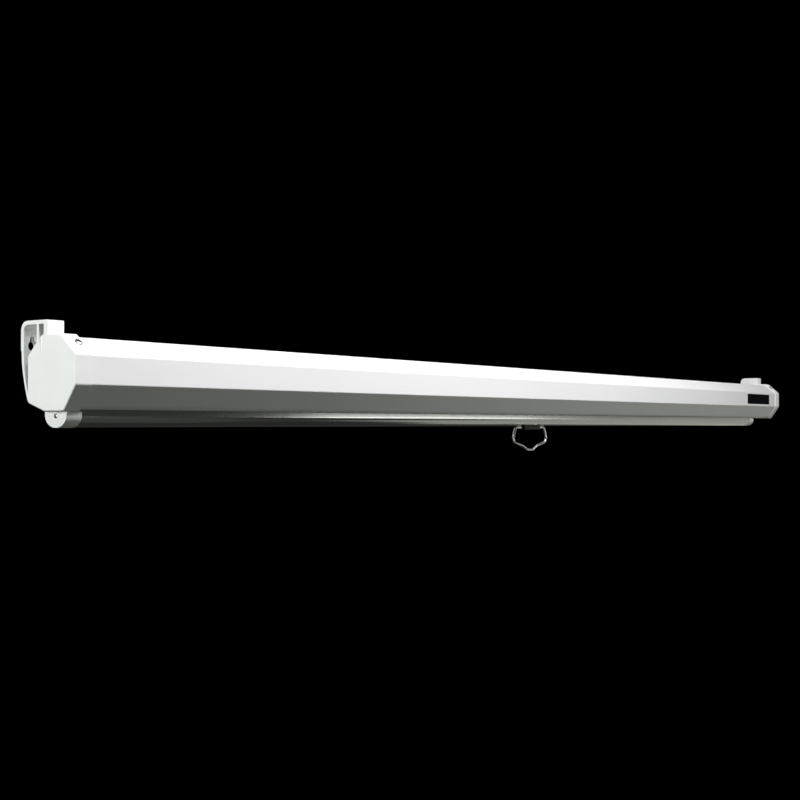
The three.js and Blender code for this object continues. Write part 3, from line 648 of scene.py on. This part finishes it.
slot_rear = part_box("fabric_tail")[0].y + SLOT_BEHIND_CLOTH
slot_front = slot_rear - SLOT_WIDTH
case_corners = [
    (slot_rear, case_low.z + SLOT_LIP, 0),
    (slot_rear, case_low.z, LIP_BEND),
    (case_high.y - REAR_LOW_DEPTH, case_low.z, CASE_BEND),
    (case_high.y, case_low.z + REAR_LOW_HEIGHT, CASE_BEND),
    (case_high.y, case_high.z - REAR_HIGH_HEIGHT, CASE_BEND),
    (case_high.y - REAR_HIGH_DEPTH, case_high.z, CASE_BEND),
    (case_low.y + FRONT_HIGH_DEPTH, case_high.z, CASE_BEND),
    (case_low.y, case_high.z - FRONT_HIGH_HEIGHT, CASE_BEND),
    (case_low.y, case_low.z + FRONT_LOW_HEIGHT, CASE_BEND),
    (case_low.y + FRONT_LOW_DEPTH, case_low.z, FOOT_BEND),
    (slot_front, case_low.z, LIP_BEND),
    (slot_front, case_low.z + SLOT_LIP, 0),
]
case_line = outline_mesh("casing", [(case_low.x, y, z) for y, z, _ in case_corners],
                         [bend for _, _, bend in case_corners])
casing = run_tree(section_tree, "casing_folded", case_line, white_paint,
                  length=case_high.x - case_low.x)
add_wall(casing, CASE_WALL, CASE_EDGE)
keep_faces_flat(casing)
stand_for(casing, "casing")

# %% [markdown]
# The bar is a half round below two short upright sides, with a slit on top for the screen's
# hem. At both ends, its top is cut down to the height of the end caps. The Boolean modifier
# makes each cut with a block that reaches past the bar, because two faces in one plane are a
# hard case for it.


# %% Cut one piece with another
def cut_with(piece, cutter):
    boolean = piece.modifiers.new("cut", "BOOLEAN")
    boolean.operation = "DIFFERENCE"
    boolean.solver = "EXACT"
    boolean.object = cutter
    apply_modifiers(piece)
    bpy.data.objects.remove(cutter)


def block_between(name, low, high):
    shape = bmesh.new()
    bmesh.ops.create_cube(shape, size=1)
    low, high = Vector(low), Vector(high)
    for vertex in shape.verts:
        vertex.co = (low + high) / 2 + Vector(a * b for a, b in zip(vertex.co, high - low))
    mesh = bpy.data.meshes.new(name)
    shape.to_mesh(mesh)
    shape.free()
    return add_piece(name, mesh)


# %% Draw the bar
bar_low, bar_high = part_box("weight_bar")
BAR_WALL = 1.4 * MM
BAR_EDGE = 0.12 * MM
BAR_SIDE = 5.3 * MM
BAR_MOUTH = 3 * MM
BAR_BEND = 0.5 * MM
ROUND_STEPS = 40
CUT_OVERRUN = 1 * MM
CUT_PAST_CAP = 0.3 * MM

bar_y = (bar_low.y + bar_high.y) / 2
bar_half = (bar_high.y - bar_low.y) / 2
bar_shoulder = bar_high.z - BAR_SIDE
round_depth = bar_shoulder - bar_low.z
half_round = [
    (bar_y - bar_half * math.cos(math.pi * step / ROUND_STEPS),
     bar_shoulder - round_depth * math.sin(math.pi * step / ROUND_STEPS))
    for step in range(ROUND_STEPS + 1)
]
bar_outline = [
    (bar_y - BAR_MOUTH / 2, bar_high.z),
    (bar_y - bar_half, bar_high.z),
    *half_round,
    (bar_y + bar_half, bar_high.z),
    (bar_y + BAR_MOUTH / 2, bar_high.z),
]
bar_bends = [0, BAR_BEND, *[0] * len(half_round), BAR_BEND, 0]
bar_line = outline_mesh("bar", [(bar_low.x, y, z) for y, z in bar_outline], bar_bends)
bar = run_tree(section_tree, "bar_drawn", bar_line, bar_aluminium,
               length=bar_high.x - bar_low.x)
add_wall(bar, BAR_WALL, BAR_EDGE)
for side in ("left", "right"):
    cap_low, cap_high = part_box("bar_cap_" + side)
    notch_low = (cap_low.x - CUT_OVERRUN, bar_low.y - CUT_OVERRUN, cap_high.z)
    notch_high = (cap_high.x + CUT_PAST_CAP, bar_high.y + CUT_OVERRUN, bar_high.z + CUT_OVERRUN)
    cut_with(bar, block_between("notch", notch_low, notch_high))
keep_faces_flat(bar)
stand_for(bar, "weight_bar")

# %% [markdown]
# ### The wire handle
#
# The handle is one length of bright wire bent in a jig. It leaves the clip on both sides, runs
# out, down and in, and the two sides meet in a small lip for a finger or a hook. The tree
# rounds the corners of a plain line and sweeps a circle along it. The two sides are alike, so
# only one is given, from the clip to the lip, and the other mirrors it.

# %% Build the wire tree
WIRE_RADIUS = 1.7 * MM
WIRE_BEND = 6.5 * MM
WIRE_SHARP_ANGLE = 50 * DEGREE


def make_wire_tree():
    tree, sizes, end = new_tree("bent_wire", wire_radius=WIRE_RADIUS, bend_points=8, wire_sides=20)
    circle = node(tree, "GeometryNodeCurvePrimitiveCircle",
                  {"Resolution": sizes["wire_sides"], "Radius": sizes["wire_radius"]})
    wire = node(tree, "GeometryNodeCurveToMesh",
                {"Curve": bent_line(tree, sizes), "Profile Curve": circle.outputs[0],
                 "Fill Caps": True})
    end_tree(tree, sizes, wire.outputs[0], end)
    return tree


wire_tree = make_wire_tree()

# %% Bend the handle
# Millimetres out from the middle, and down from the line that the handle swings on
HANDLE_CORNERS = {
    "end in the clip": (12, 0),
    "shoulder": (43, 0),
    "elbow": (53, 21),
    "start of the lip": (21, 27.8),
    "lip": (9, 33.4),
}
clip_low, clip_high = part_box("handle_clip")
handle_x = (clip_low.x + clip_high.x) / 2
pivot_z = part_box("handle_bail")[1].z - WIRE_RADIUS
handle_half = [(out * MM, drop * MM) for out, drop in HANDLE_CORNERS.values()]
handle_points = [(handle_x - out, bar_y, pivot_z - drop) for out, drop in handle_half]
handle_points += [(handle_x + out, bar_y, pivot_z - drop) for out, drop in reversed(handle_half)]
handle_line = outline_mesh("handle", handle_points, [WIRE_BEND] * len(handle_points))
handle = run_tree(wire_tree, "handle_wire", handle_line, chrome_wire, wire_radius=WIRE_RADIUS)
smooth(handle.data, WIRE_SHARP_ANGLE)
stand_for(handle, "handle_bail")

# %% [markdown]
# ### Screws
#
# Seven screws of two sizes hold the caps, the bar's caps and the clip: pan heads with a cross
# recess. The tree builds one screw, cuts its recess with two tapered wedges, and sets it on
# every point of the source mesh, turned to that point's own direction. Everything in it is a
# share of four named sizes, so the same tree makes both screws.

# %% Build the screw tree
CAP_SCREW = {"head_radius": 3.7 * MM, "head_height": 2 * MM,
             "shank_radius": 1.9 * MM, "shank_length": 4.8 * MM}
BAR_SCREW = {"head_radius": 2.1 * MM, "head_height": 1.3 * MM,
             "shank_radius": 1.1 * MM, "shank_length": 6 * MM}
HEAD_SIDES = 40
BALL_RINGS = 24
SHANK_SIDES = 24
# Shares of the head's radius: the ball that rounds it off, and the recess's arms
BALL_SHARE = 1.18
RECESS_REACH_SHARE = 0.66
ARM_WIDTH_SHARE = 0.30
ARM_FLOOR_SHARE = 0.55
# Shares of the head's height, and of the wedge that cuts the recess, part of which stands out
RECESS_DEPTH_SHARE = 0.75
SUNK_SHARE = 0.8
# The middle of the shank, as a share of its length: its top is a little way into the head
SHANK_MIDDLE_SHARE = -0.48


def make_screw_tree():
    tree, sizes, end = new_tree("pan_head_screw", **CAP_SCREW)

    def vector(x=0.0, y=0.0, z=0.0):
        return node(tree, "ShaderNodeCombineXYZ", {"X": x, "Y": y, "Z": z}).outputs[0]

    def moved(shape, **where):
        return node(tree, "GeometryNodeTransform", {"Geometry": shape, **where}).outputs[0]

    # The head: a disc, kept only where it lies inside a flattened ball
    disc = node(tree, "GeometryNodeMeshCylinder",
                {"Vertices": HEAD_SIDES, "Radius": sizes["head_radius"],
                 "Depth": sizes["head_height"]})
    half_height = product(tree, sizes["head_height"], 0.5)
    disc = moved(disc.outputs["Mesh"], Translation=vector(z=half_height))
    ball = node(tree, "GeometryNodeMeshUVSphere",
                {"Segments": HEAD_SIDES, "Rings": BALL_RINGS, "Radius": 1.0})
    wide = product(tree, sizes["head_radius"], BALL_SHARE)
    ball = moved(ball.outputs["Mesh"], Scale=vector(wide, wide, sizes["head_height"]))
    head = node(tree, "GeometryNodeMeshBoolean", {"Mesh 2": disc}, operation="INTERSECT")
    tree.links.new(ball, head.inputs["Mesh 2"])

    # The recess: two wedges that narrow downwards, crossed
    reach = product(tree, sizes["head_radius"], RECESS_REACH_SHARE)
    narrow = product(tree, reach, ARM_WIDTH_SHARE)
    depth = product(tree, sizes["head_height"], RECESS_DEPTH_SHARE)
    sunk = product(tree, depth, SUNK_SHARE)
    recess_floor = node(tree, "ShaderNodeMath", {0: sizes["head_height"], 1: sunk},
                        operation="SUBTRACT").outputs[0]
    wedge = node(tree, "GeometryNodeMeshCone",
                 {"Vertices": 4, "Radius Top": 1.0, "Radius Bottom": ARM_FLOOR_SHARE, "Depth": 1.0})
    turned = moved(wedge.outputs["Mesh"], Rotation=(0, 0, math.pi / 4))
    cut = head.outputs["Mesh"]
    for size in ((reach, narrow), (narrow, reach)):
        arm = moved(turned, Translation=vector(z=recess_floor), Scale=vector(*size, depth))
        cut = node(tree, "GeometryNodeMeshBoolean", {"Mesh 1": cut, "Mesh 2": arm},
                   operation="DIFFERENCE").outputs["Mesh"]

    # The shank, joined under the head
    shank = node(tree, "GeometryNodeMeshCylinder",
                 {"Vertices": SHANK_SIDES, "Radius": sizes["shank_radius"],
                  "Depth": sizes["shank_length"]})
    under = product(tree, sizes["shank_length"], SHANK_MIDDLE_SHARE)
    shank = moved(shank.outputs["Mesh"], Translation=vector(z=under))
    screw = node(tree, "GeometryNodeMeshBoolean", {"Mesh 2": cut}, operation="UNION")
    tree.links.new(shank, screw.inputs["Mesh 2"])

    # One on each point, with its head the way the point's arrow shows
    points = node(tree, "GeometryNodeMeshToPoints", {"Mesh": sizes["Geometry"]})
    arrow = node(tree, "GeometryNodeInputNamedAttribute", {"Name": "outward"},
                 data_type="FLOAT_VECTOR")
    turn = node(tree, "FunctionNodeAlignRotationToVector", {"Vector": arrow.outputs[0]}, axis="Z")
    placed = node(tree, "GeometryNodeInstanceOnPoints",
                  {"Points": points.outputs[0], "Instance": screw.outputs["Mesh"],
                   "Rotation": turn.outputs[0]})
    end_tree(tree, sizes, placed.outputs[0], end)
    return tree


screw_tree = make_screw_tree()


# %% [markdown]
# Each screw's place comes from its node. The underside of its head and its tip look the same way
# and are its largest flat faces, so they tell where the head points. The crown of the head is
# then the farthest flat that way, and its middle lies on the screw's axis.


# %% Find where each screw's head sits
CROWN_WITHIN = 0.01 * MM


def way_of_head(name):
    areas = {}
    for face in nodes[name].data.polygons:
        way = tuple(round(value, 3) for value in face.normal)
        areas[way] = areas.get(way, 0) + face.area
    return -Vector(max(areas, key=areas.get)).normalized()


def head_seat(name, outward, head_height):
    """The middle of the underside of the head."""
    points = [vertex.co for vertex in nodes[name].data.vertices]
    crown = max(point.dot(outward) for point in points)
    top = [point for point in points if point.dot(outward) > crown - CROWN_WITHIN]
    return sum(top, Vector()) / len(top) - outward * head_height


# %% Set the screws
def set_screws(piece_name, names, screw):
    ways = [way_of_head(name) for name in names]
    seats = [head_seat(name, way, screw["head_height"]) for name, way in zip(names, ways)]
    mesh = bpy.data.meshes.new(piece_name + "_places")
    mesh.from_pydata(seats, [], [])
    arrows = mesh.attributes.new("outward", "FLOAT_VECTOR", "POINT")
    for place, way in zip(arrows.data, ways):
        place.vector = way
    piece = run_tree(screw_tree, piece_name, mesh, steel, **screw)
    smooth(piece.data)
    stand_for(piece, *names)


cap_screws = [f"cap_screw_{side}_{slope}"
              for side in ("left", "right") for slope in ("front", "rear")]
bar_screws = ["bar_cap_screw_left", "bar_cap_screw_right", "handle_screw"]
set_screws("cap_screws", cap_screws, CAP_SCREW)
set_screws("bar_screws", bar_screws, BAR_SCREW)

# %% [markdown]
# ## Inside the case
#
# The spring, the shaft and the lock are never seen, but the part can be opened, so each has
# its real finish. The spring gets its coils: a helix of wire from its anchor to its collar. Its
# tree draws its own curve, so the carrier's mesh is only a short line that the tree ignores.

# %% Build the spring tree
SPRING_WIRE = 1 * MM
COIL_STEPS = 20
COIL_WIRE_SIDES = 8
# The wire is drawn a little thinner than its room, and its turns don't touch
WIRE_SHARE = 0.98
PITCH_SHARE = 2.15
SPRING_SHARP_ANGLE = 60 * DEGREE
IGNORED_LINE = [(0, 0, 0), (0, 0, MM)]


def make_spring_tree():
    tree, sizes, end = new_tree("wound_spring", coil_radius=10 * MM, wire_radius=SPRING_WIRE,
                                length=290 * MM, turns=130.0)
    helix = node(tree, "GeometryNodeCurveSpiral",
                 {"Resolution": COIL_STEPS, "Rotations": sizes["turns"],
                  "Start Radius": sizes["coil_radius"], "End Radius": sizes["coil_radius"],
                  "Height": sizes["length"]})
    circle = node(tree, "GeometryNodeCurvePrimitiveCircle",
                  {"Resolution": COIL_WIRE_SIDES, "Radius": sizes["wire_radius"]})
    wire = node(tree, "GeometryNodeCurveToMesh",
                {"Curve": helix.outputs[0], "Profile Curve": circle.outputs[0], "Fill Caps": True})
    laid = node(tree, "GeometryNodeTransform",
                {"Geometry": wire.outputs[0], "Rotation": (0, math.pi / 2, 0)})
    end_tree(tree, sizes, laid.outputs[0], end)
    return tree


spring_tree = make_spring_tree()


# %% Wind the spring
def shift(piece, by):
    """Puts a shape that was made at the origin in its place, in its mesh."""
    for vertex in piece.data.vertices:
        vertex.co += Vector(by)


spring_low, spring_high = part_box("torsion_spring")
spring_centre = (spring_low + spring_high) / 2
spring_length = spring_high.x - spring_low.x - 2 * SPRING_WIRE
spring_radius = (spring_high.z - spring_low.z) / 2 - SPRING_WIRE
spring_turns = spring_length / (PITCH_SHARE * SPRING_WIRE)
spring = run_tree(spring_tree, "torsion_spring_wound", outline_mesh("spring", IGNORED_LINE), steel,
                  coil_radius=spring_radius, wire_radius=WIRE_SHARE * SPRING_WIRE,
                  length=spring_length, turns=spring_turns)
shift(spring, (spring_low.x + SPRING_WIRE, spring_centre.y, spring_centre.z))
smooth(spring.data, SPRING_SHARP_ANGLE)
stand_for(spring, "torsion_spring")
print("spring:", round(spring_turns), "turns")

# %% Give the other inner nodes their finish
inner_finishes = {
    steel: ("roller_tube", "idle_pin", "spring_collar", "spring_shaft", "ratchet_hub",
            "pawl_upper", "pawl_lower"),
    nylon: ("roller_plug_left", "roller_plug_right", "idle_bush", "spring_anchor", "lock_cover",
            "fabric_rod"),
}
for finish, names in inner_finishes.items():
    for name in names:
        nodes[name].data.materials.clear()
        nodes[name].data.materials.append(finish)
    print(finish.name, "on", ", ".join(names))

# %% [markdown]
# ## The screen
#
# Two metres of cloth are wound on the roller in a true spiral, one layer's thickness per turn.
# The spiral starts at the roller and ends where the cloth leaves it for the slot, so its last
# turn points straight at the bar. The ribbon then gets the cloth's thickness.

# %% Build the spiral tree
ROLL_STEPS = 56


def make_roll_tree():
    tree, sizes, end = new_tree("wound_cloth", core_radius=18 * MM, outer_radius=24 * MM,
                                turns=14.0, width=1.8, start_angle=0.0)
    spiral = node(tree, "GeometryNodeCurveSpiral",
                  {"Resolution": ROLL_STEPS, "Rotations": sizes["turns"], "Height": 0.0,
                   "Start Radius": sizes["core_radius"], "End Radius": sizes["outer_radius"],
                   "Reverse": True})
    spin = node(tree, "ShaderNodeCombineXYZ", {"Z": sizes["start_angle"]})
    turned = node(tree, "GeometryNodeTransform",
                  {"Geometry": spiral.outputs[0], "Rotation": spin.outputs[0]})
    upright = node(tree, "GeometryNodeTransform",
                   {"Geometry": turned.outputs[0], "Rotation": (math.pi / 2, 0, math.pi / 2)})
    end_tree(tree, sizes, pulled_along_x(tree, upright.outputs[0], sizes["width"]), end)
    return tree


roll_tree = make_roll_tree()

# %% Measure the roll
CLOTH_THICKNESS = 0.4 * MM
ROLL_GAP = 0.3 * MM
roll_low, roll_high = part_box("fabric_roll")
tube_low, tube_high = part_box("roller_tube")
roll_centre = (roll_low + roll_high) / 2
roll_radius = (roll_high.z - roll_low.z) / 2
core_radius = (tube_high.z - tube_low.z) / 2 + ROLL_GAP
turns = (roll_radius - core_radius) / CLOTH_THICKNESS

# The cloth leaves the roll along the line that touches it and ends beside the slot's rear lip
lip = Vector((0, bar_y, case_low.z + SLOT_LIP))
to_axis = Vector((0, roll_centre.y - lip.y, roll_centre.z - lip.z))
tail_reach = roll_radius + ROLL_GAP + CLOTH_THICKNESS / 2
lean = math.atan2(to_axis.z, to_axis.y) - math.asin(tail_reach / to_axis.length)
leaving = lean - math.pi / 2
print("roll:", round(turns, 1), "turns, left at", round(90 - lean / DEGREE), "degrees to upright")

# %% Wind the cloth
roll = run_tree(roll_tree, "screen_roll", outline_mesh("roll", IGNORED_LINE), cloth_front,
                core_radius=core_radius + CLOTH_THICKNESS / 2,
                outer_radius=roll_radius - CLOTH_THICKNESS / 2, turns=turns,
                width=roll_high.x - roll_low.x, start_angle=leaving + 2 * math.pi * turns)
shift(roll, (roll_low.x, roll_centre.y, roll_centre.z))

# %% [markdown]
# The cloth's map is its own flat size in metres. On the roll, how far along the cloth a point
# lies follows from its turn, and across is simply X. Solidify gives the sheet its thickness and
# a second finish on its other side. The cloth comes off the rear of the roll, so its white
# picture side lies inwards on the roll and faces the room on the tail.

# %% Write a map of flat cloth, and finish a cloth piece
CLOTH_SHARP_ANGLE = 50 * DEGREE


def map_cloth(piece, across_and_down):
    layer = piece.data.uv_layers.new(name="flat_cloth")
    for loop in piece.data.loops:
        layer.data[loop.index].uv = across_and_down(loop.vertex_index)


def finish_cloth(piece, thickness, normal_side, other_side):
    """Adds the thickness, with one finish where the normals point and one on the other side."""
    piece.data.materials.clear()
    piece.data.materials.append(normal_side)
    piece.data.materials.append(other_side)
    solidify = piece.modifiers.new("thickness", "SOLIDIFY")
    solidify.thickness = thickness
    solidify.offset = 0
    solidify.material_offset = 1
    apply_modifiers(piece, CLOTH_SHARP_ANGLE)


# %% Finish the roll
# A wound layer is drawn a little thinner than its room, so that it doesn't cut into the next
LAYER_SHARE = 0.9
roll_steps = len(roll.data.vertices) // 2
map_cloth(roll, lambda index: (
    roll.data.vertices[index].co.x - roll_low.x,
    -CLOTH_LENGTH * (1 - (index % roll_steps) / roll_steps),
))
finish_cloth(roll, CLOTH_THICKNESS * LAYER_SHARE, cloth_front, cloth_back)
stand_for(roll, "fabric_roll")

# %% [markdown]
# The tail is the stretch from the roll to the bar. When the bar is pulled it hangs down to its full
# drop. Its rows are spaced for a smooth stretch to that drop, least at its two ends. Evenly
# spaced rows would come out uneven, so the rows are packed in the uneven steps that come out
# even when the screen is drawn down. Each step is found by halving the range that holds it.

# %% Space the tail's rows
STRETCH_ROWS = 60
COLUMNS = 24
HALVINGS = 40
HEM_ABOVE_ROD = 0.3 * MM
HEM_BELOW_MOUTH = 0.6 * MM
tail_left, tail_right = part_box("fabric_tail")[0].x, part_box("fabric_tail")[1].x
hem_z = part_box("fabric_rod")[1].z + HEM_ABOVE_ROD
stretch_top = lip.z
stretch_end = bar_high.z - HEM_BELOW_MOUTH


def even_when_drawn(share):
    """Where a row starts, from 0 to 1, so that it ends at this share of the drop when drawn."""
    low, high = 0.0, 1.0
    for _ in range(HALVINGS):
        middle = (low + high) / 2
        if middle * middle * (3 - 2 * middle) < share:
            low = middle
        else:
            high = middle
    return (low + high) / 2


leave_length = math.sqrt(to_axis.length ** 2 - tail_reach ** 2)
leave_point = lip + leave_length * Vector((0, math.cos(lean), math.sin(lean)))
tail_rows = [(leave_point.y, leave_point.z, -leave_length)]
tail_rows += [
    (lip.y, stretch_top + (stretch_end - stretch_top) * even_when_drawn(row / STRETCH_ROWS),
     DROP * row / STRETCH_ROWS)
    for row in range(STRETCH_ROWS + 1)
]
tail_rows.append((lip.y, hem_z, DROP + stretch_end - hem_z))
print("tail:", len(tail_rows), "rows")

# %% Hang the tail from the roll to the bar
tail_points = [
    (tail_left + (tail_right - tail_left) * column / COLUMNS, y, z)
    for y, z, _ in tail_rows for column in range(COLUMNS + 1)
]
tail_faces = [
    (start, start + 1, start + COLUMNS + 2, start + COLUMNS + 1)
    for row in range(len(tail_rows) - 1)
    for start in range(row * (COLUMNS + 1), row * (COLUMNS + 1) + COLUMNS)
]
tail_mesh = bpy.data.meshes.new("screen_tail")
tail_mesh.from_pydata(tail_points, [], tail_faces)
tail = add_piece("screen_tail", tail_mesh)
map_cloth(tail, lambda index: (
    tail_mesh.vertices[index].co.x - tail_left,
    tail_rows[index // (COLUMNS + 1)][2],
))
finish_cloth(tail, CLOTH_THICKNESS, cloth_back, cloth_front)
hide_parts("fabric_tail")
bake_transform(tail)

# %% [markdown]
# ## The studio
#
# The screen hangs in a dark room. The floor is plain and pale, a little below where the handle
# hangs when the screen is down, and it sends no light up to the case.

# %% Lay the floor
FLOOR_Z = -2.06
FLOOR_LEFT, FLOOR_RIGHT = -2.2, 2.2
FLOOR_FRONT, FLOOR_REAR = -1.6, 0.7


def make_floor_finish():
    material, tree, shader, place = new_finish("floor", (0.52, 0.52, 0.51), 0.8)
    tone = clouded(tree, place, 600 * MM, 3, (0.54, 0.54, 0.53, 1), (0.49, 0.49, 0.48, 1))
    join(tree, tone, shader, "Base Color")
    return material


floor_mesh = bpy.data.meshes.new("floor")
floor_mesh.from_pydata([(FLOOR_LEFT, FLOOR_FRONT, FLOOR_Z), (FLOOR_RIGHT, FLOOR_FRONT, FLOOR_Z),
                        (FLOOR_RIGHT, FLOOR_REAR, FLOOR_Z), (FLOOR_LEFT, FLOOR_REAR, FLOOR_Z)],
                       [], [(0, 1, 2, 3)])
floor_mesh.materials.append(make_floor_finish())
floor = add_piece("floor", floor_mesh)
floor.visible_diffuse = False
floor.visible_glossy = False
floor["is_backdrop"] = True
handle_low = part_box("handle_bail")[0].z
print("floor:", round((handle_low - DROP - FLOOR_Z) / MM), "mm below the lowered handle")

# %% [markdown]
# Each face of the case looks another way, so each panel of light has its own job. One at the
# side lights the left cap. Two above light the upper slope, which is the brightest face, and
# the front, and the second is weaker because the case gets darker to the right. The bar is
# metal and shows what it mirrors, so a long low panel far to the right makes its streak. Three
# weak ones, low at the right, below and in front, lift the undersides, and one lights the
# back. What is left of the surroundings is almost black, and the camera doesn't see it.


# %% Set the light
def panel_light(name, place, aim, size, power, color=(1, 1, 1)):
    """A rectangle of light. place, aim and size are in metres, power is in watts."""
    light = bpy.data.lights.new(name, "AREA")
    light.shape = "RECTANGLE"
    light.size, light.size_y = size
    light.energy = power
    light.color = color
    lamp = add_piece(name, light)
    lamp.location = place
    lamp.rotation_euler = (Vector(aim) - Vector(place)).to_track_quat("-Z", "Y").to_euler()
    lamp.visible_camera = False
    print("panel", name, "gives", power, "W")


panel_light("side", (-2.2, 0.1, 0.22), (-0.96, 0, 0), (0.5, 0.8), 16.4, (0.96, 1.0, 0.98))
panel_light("above", (-0.55, -0.66, 0.95), (-0.55, 0, 0), (1.7, 0.16), 30, (1.0, 0.99, 1.0))
panel_light("above_right", (0.45, -0.85, 0.78), (0.45, 0, 0), (0.9, 0.35), 5.5)
panel_light("streak", (2.3, -1.8, -0.25), (2.3, 0, -0.25), (1.5, 0.34), 4.2, (0.98, 1.0, 0.95))
panel_light("low_right", (2.0, -0.4, -0.85), (0, -0.4, -0.85), (1.7, 1.6), 3.3, (0.97, 1.0, 0.90))
panel_light("below", (-0.5, -0.9, -1.3), (-0.5, 0, 0), (3.0, 2.0), 0.7, (0.93, 1.0, 0.84))
panel_light("front", (-0.1, -1.5, -0.5), (0.2, 0, 0), (0.5, 0.4), 1.9, (0.98, 1.0, 0.93))
panel_light("back", (0.4, 2.4, 1.2), (0, 0, 0), (3.0, 1.2), 12)

# %% Darken the surroundings
DARK_ROOM = (0.031, 0.034, 0.030, 1)
world = bpy.data.worlds.new("studio")
world.use_nodes = True
world.node_tree.nodes["Background"].inputs["Color"].default_value = DARK_ROOM
scene.world = world
world.cycles_visibility.camera = False
scene.view_settings.view_transform = "Standard"
print("colours are shown with the", scene.view_settings.view_transform, "view")

# %% [markdown]
# ## Print the size
#
# The box of the construction model and the box of the dressed model are printed, one after the other.
# The dressed model has to stay inside the box of the construction model.

# %% Print both boxes
shown_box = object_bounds()
for name, low, high in (("cad", *cad_box), ("shown", *shown_box)):
    print(name, [round(value, 4) for value in (*low, *high)])
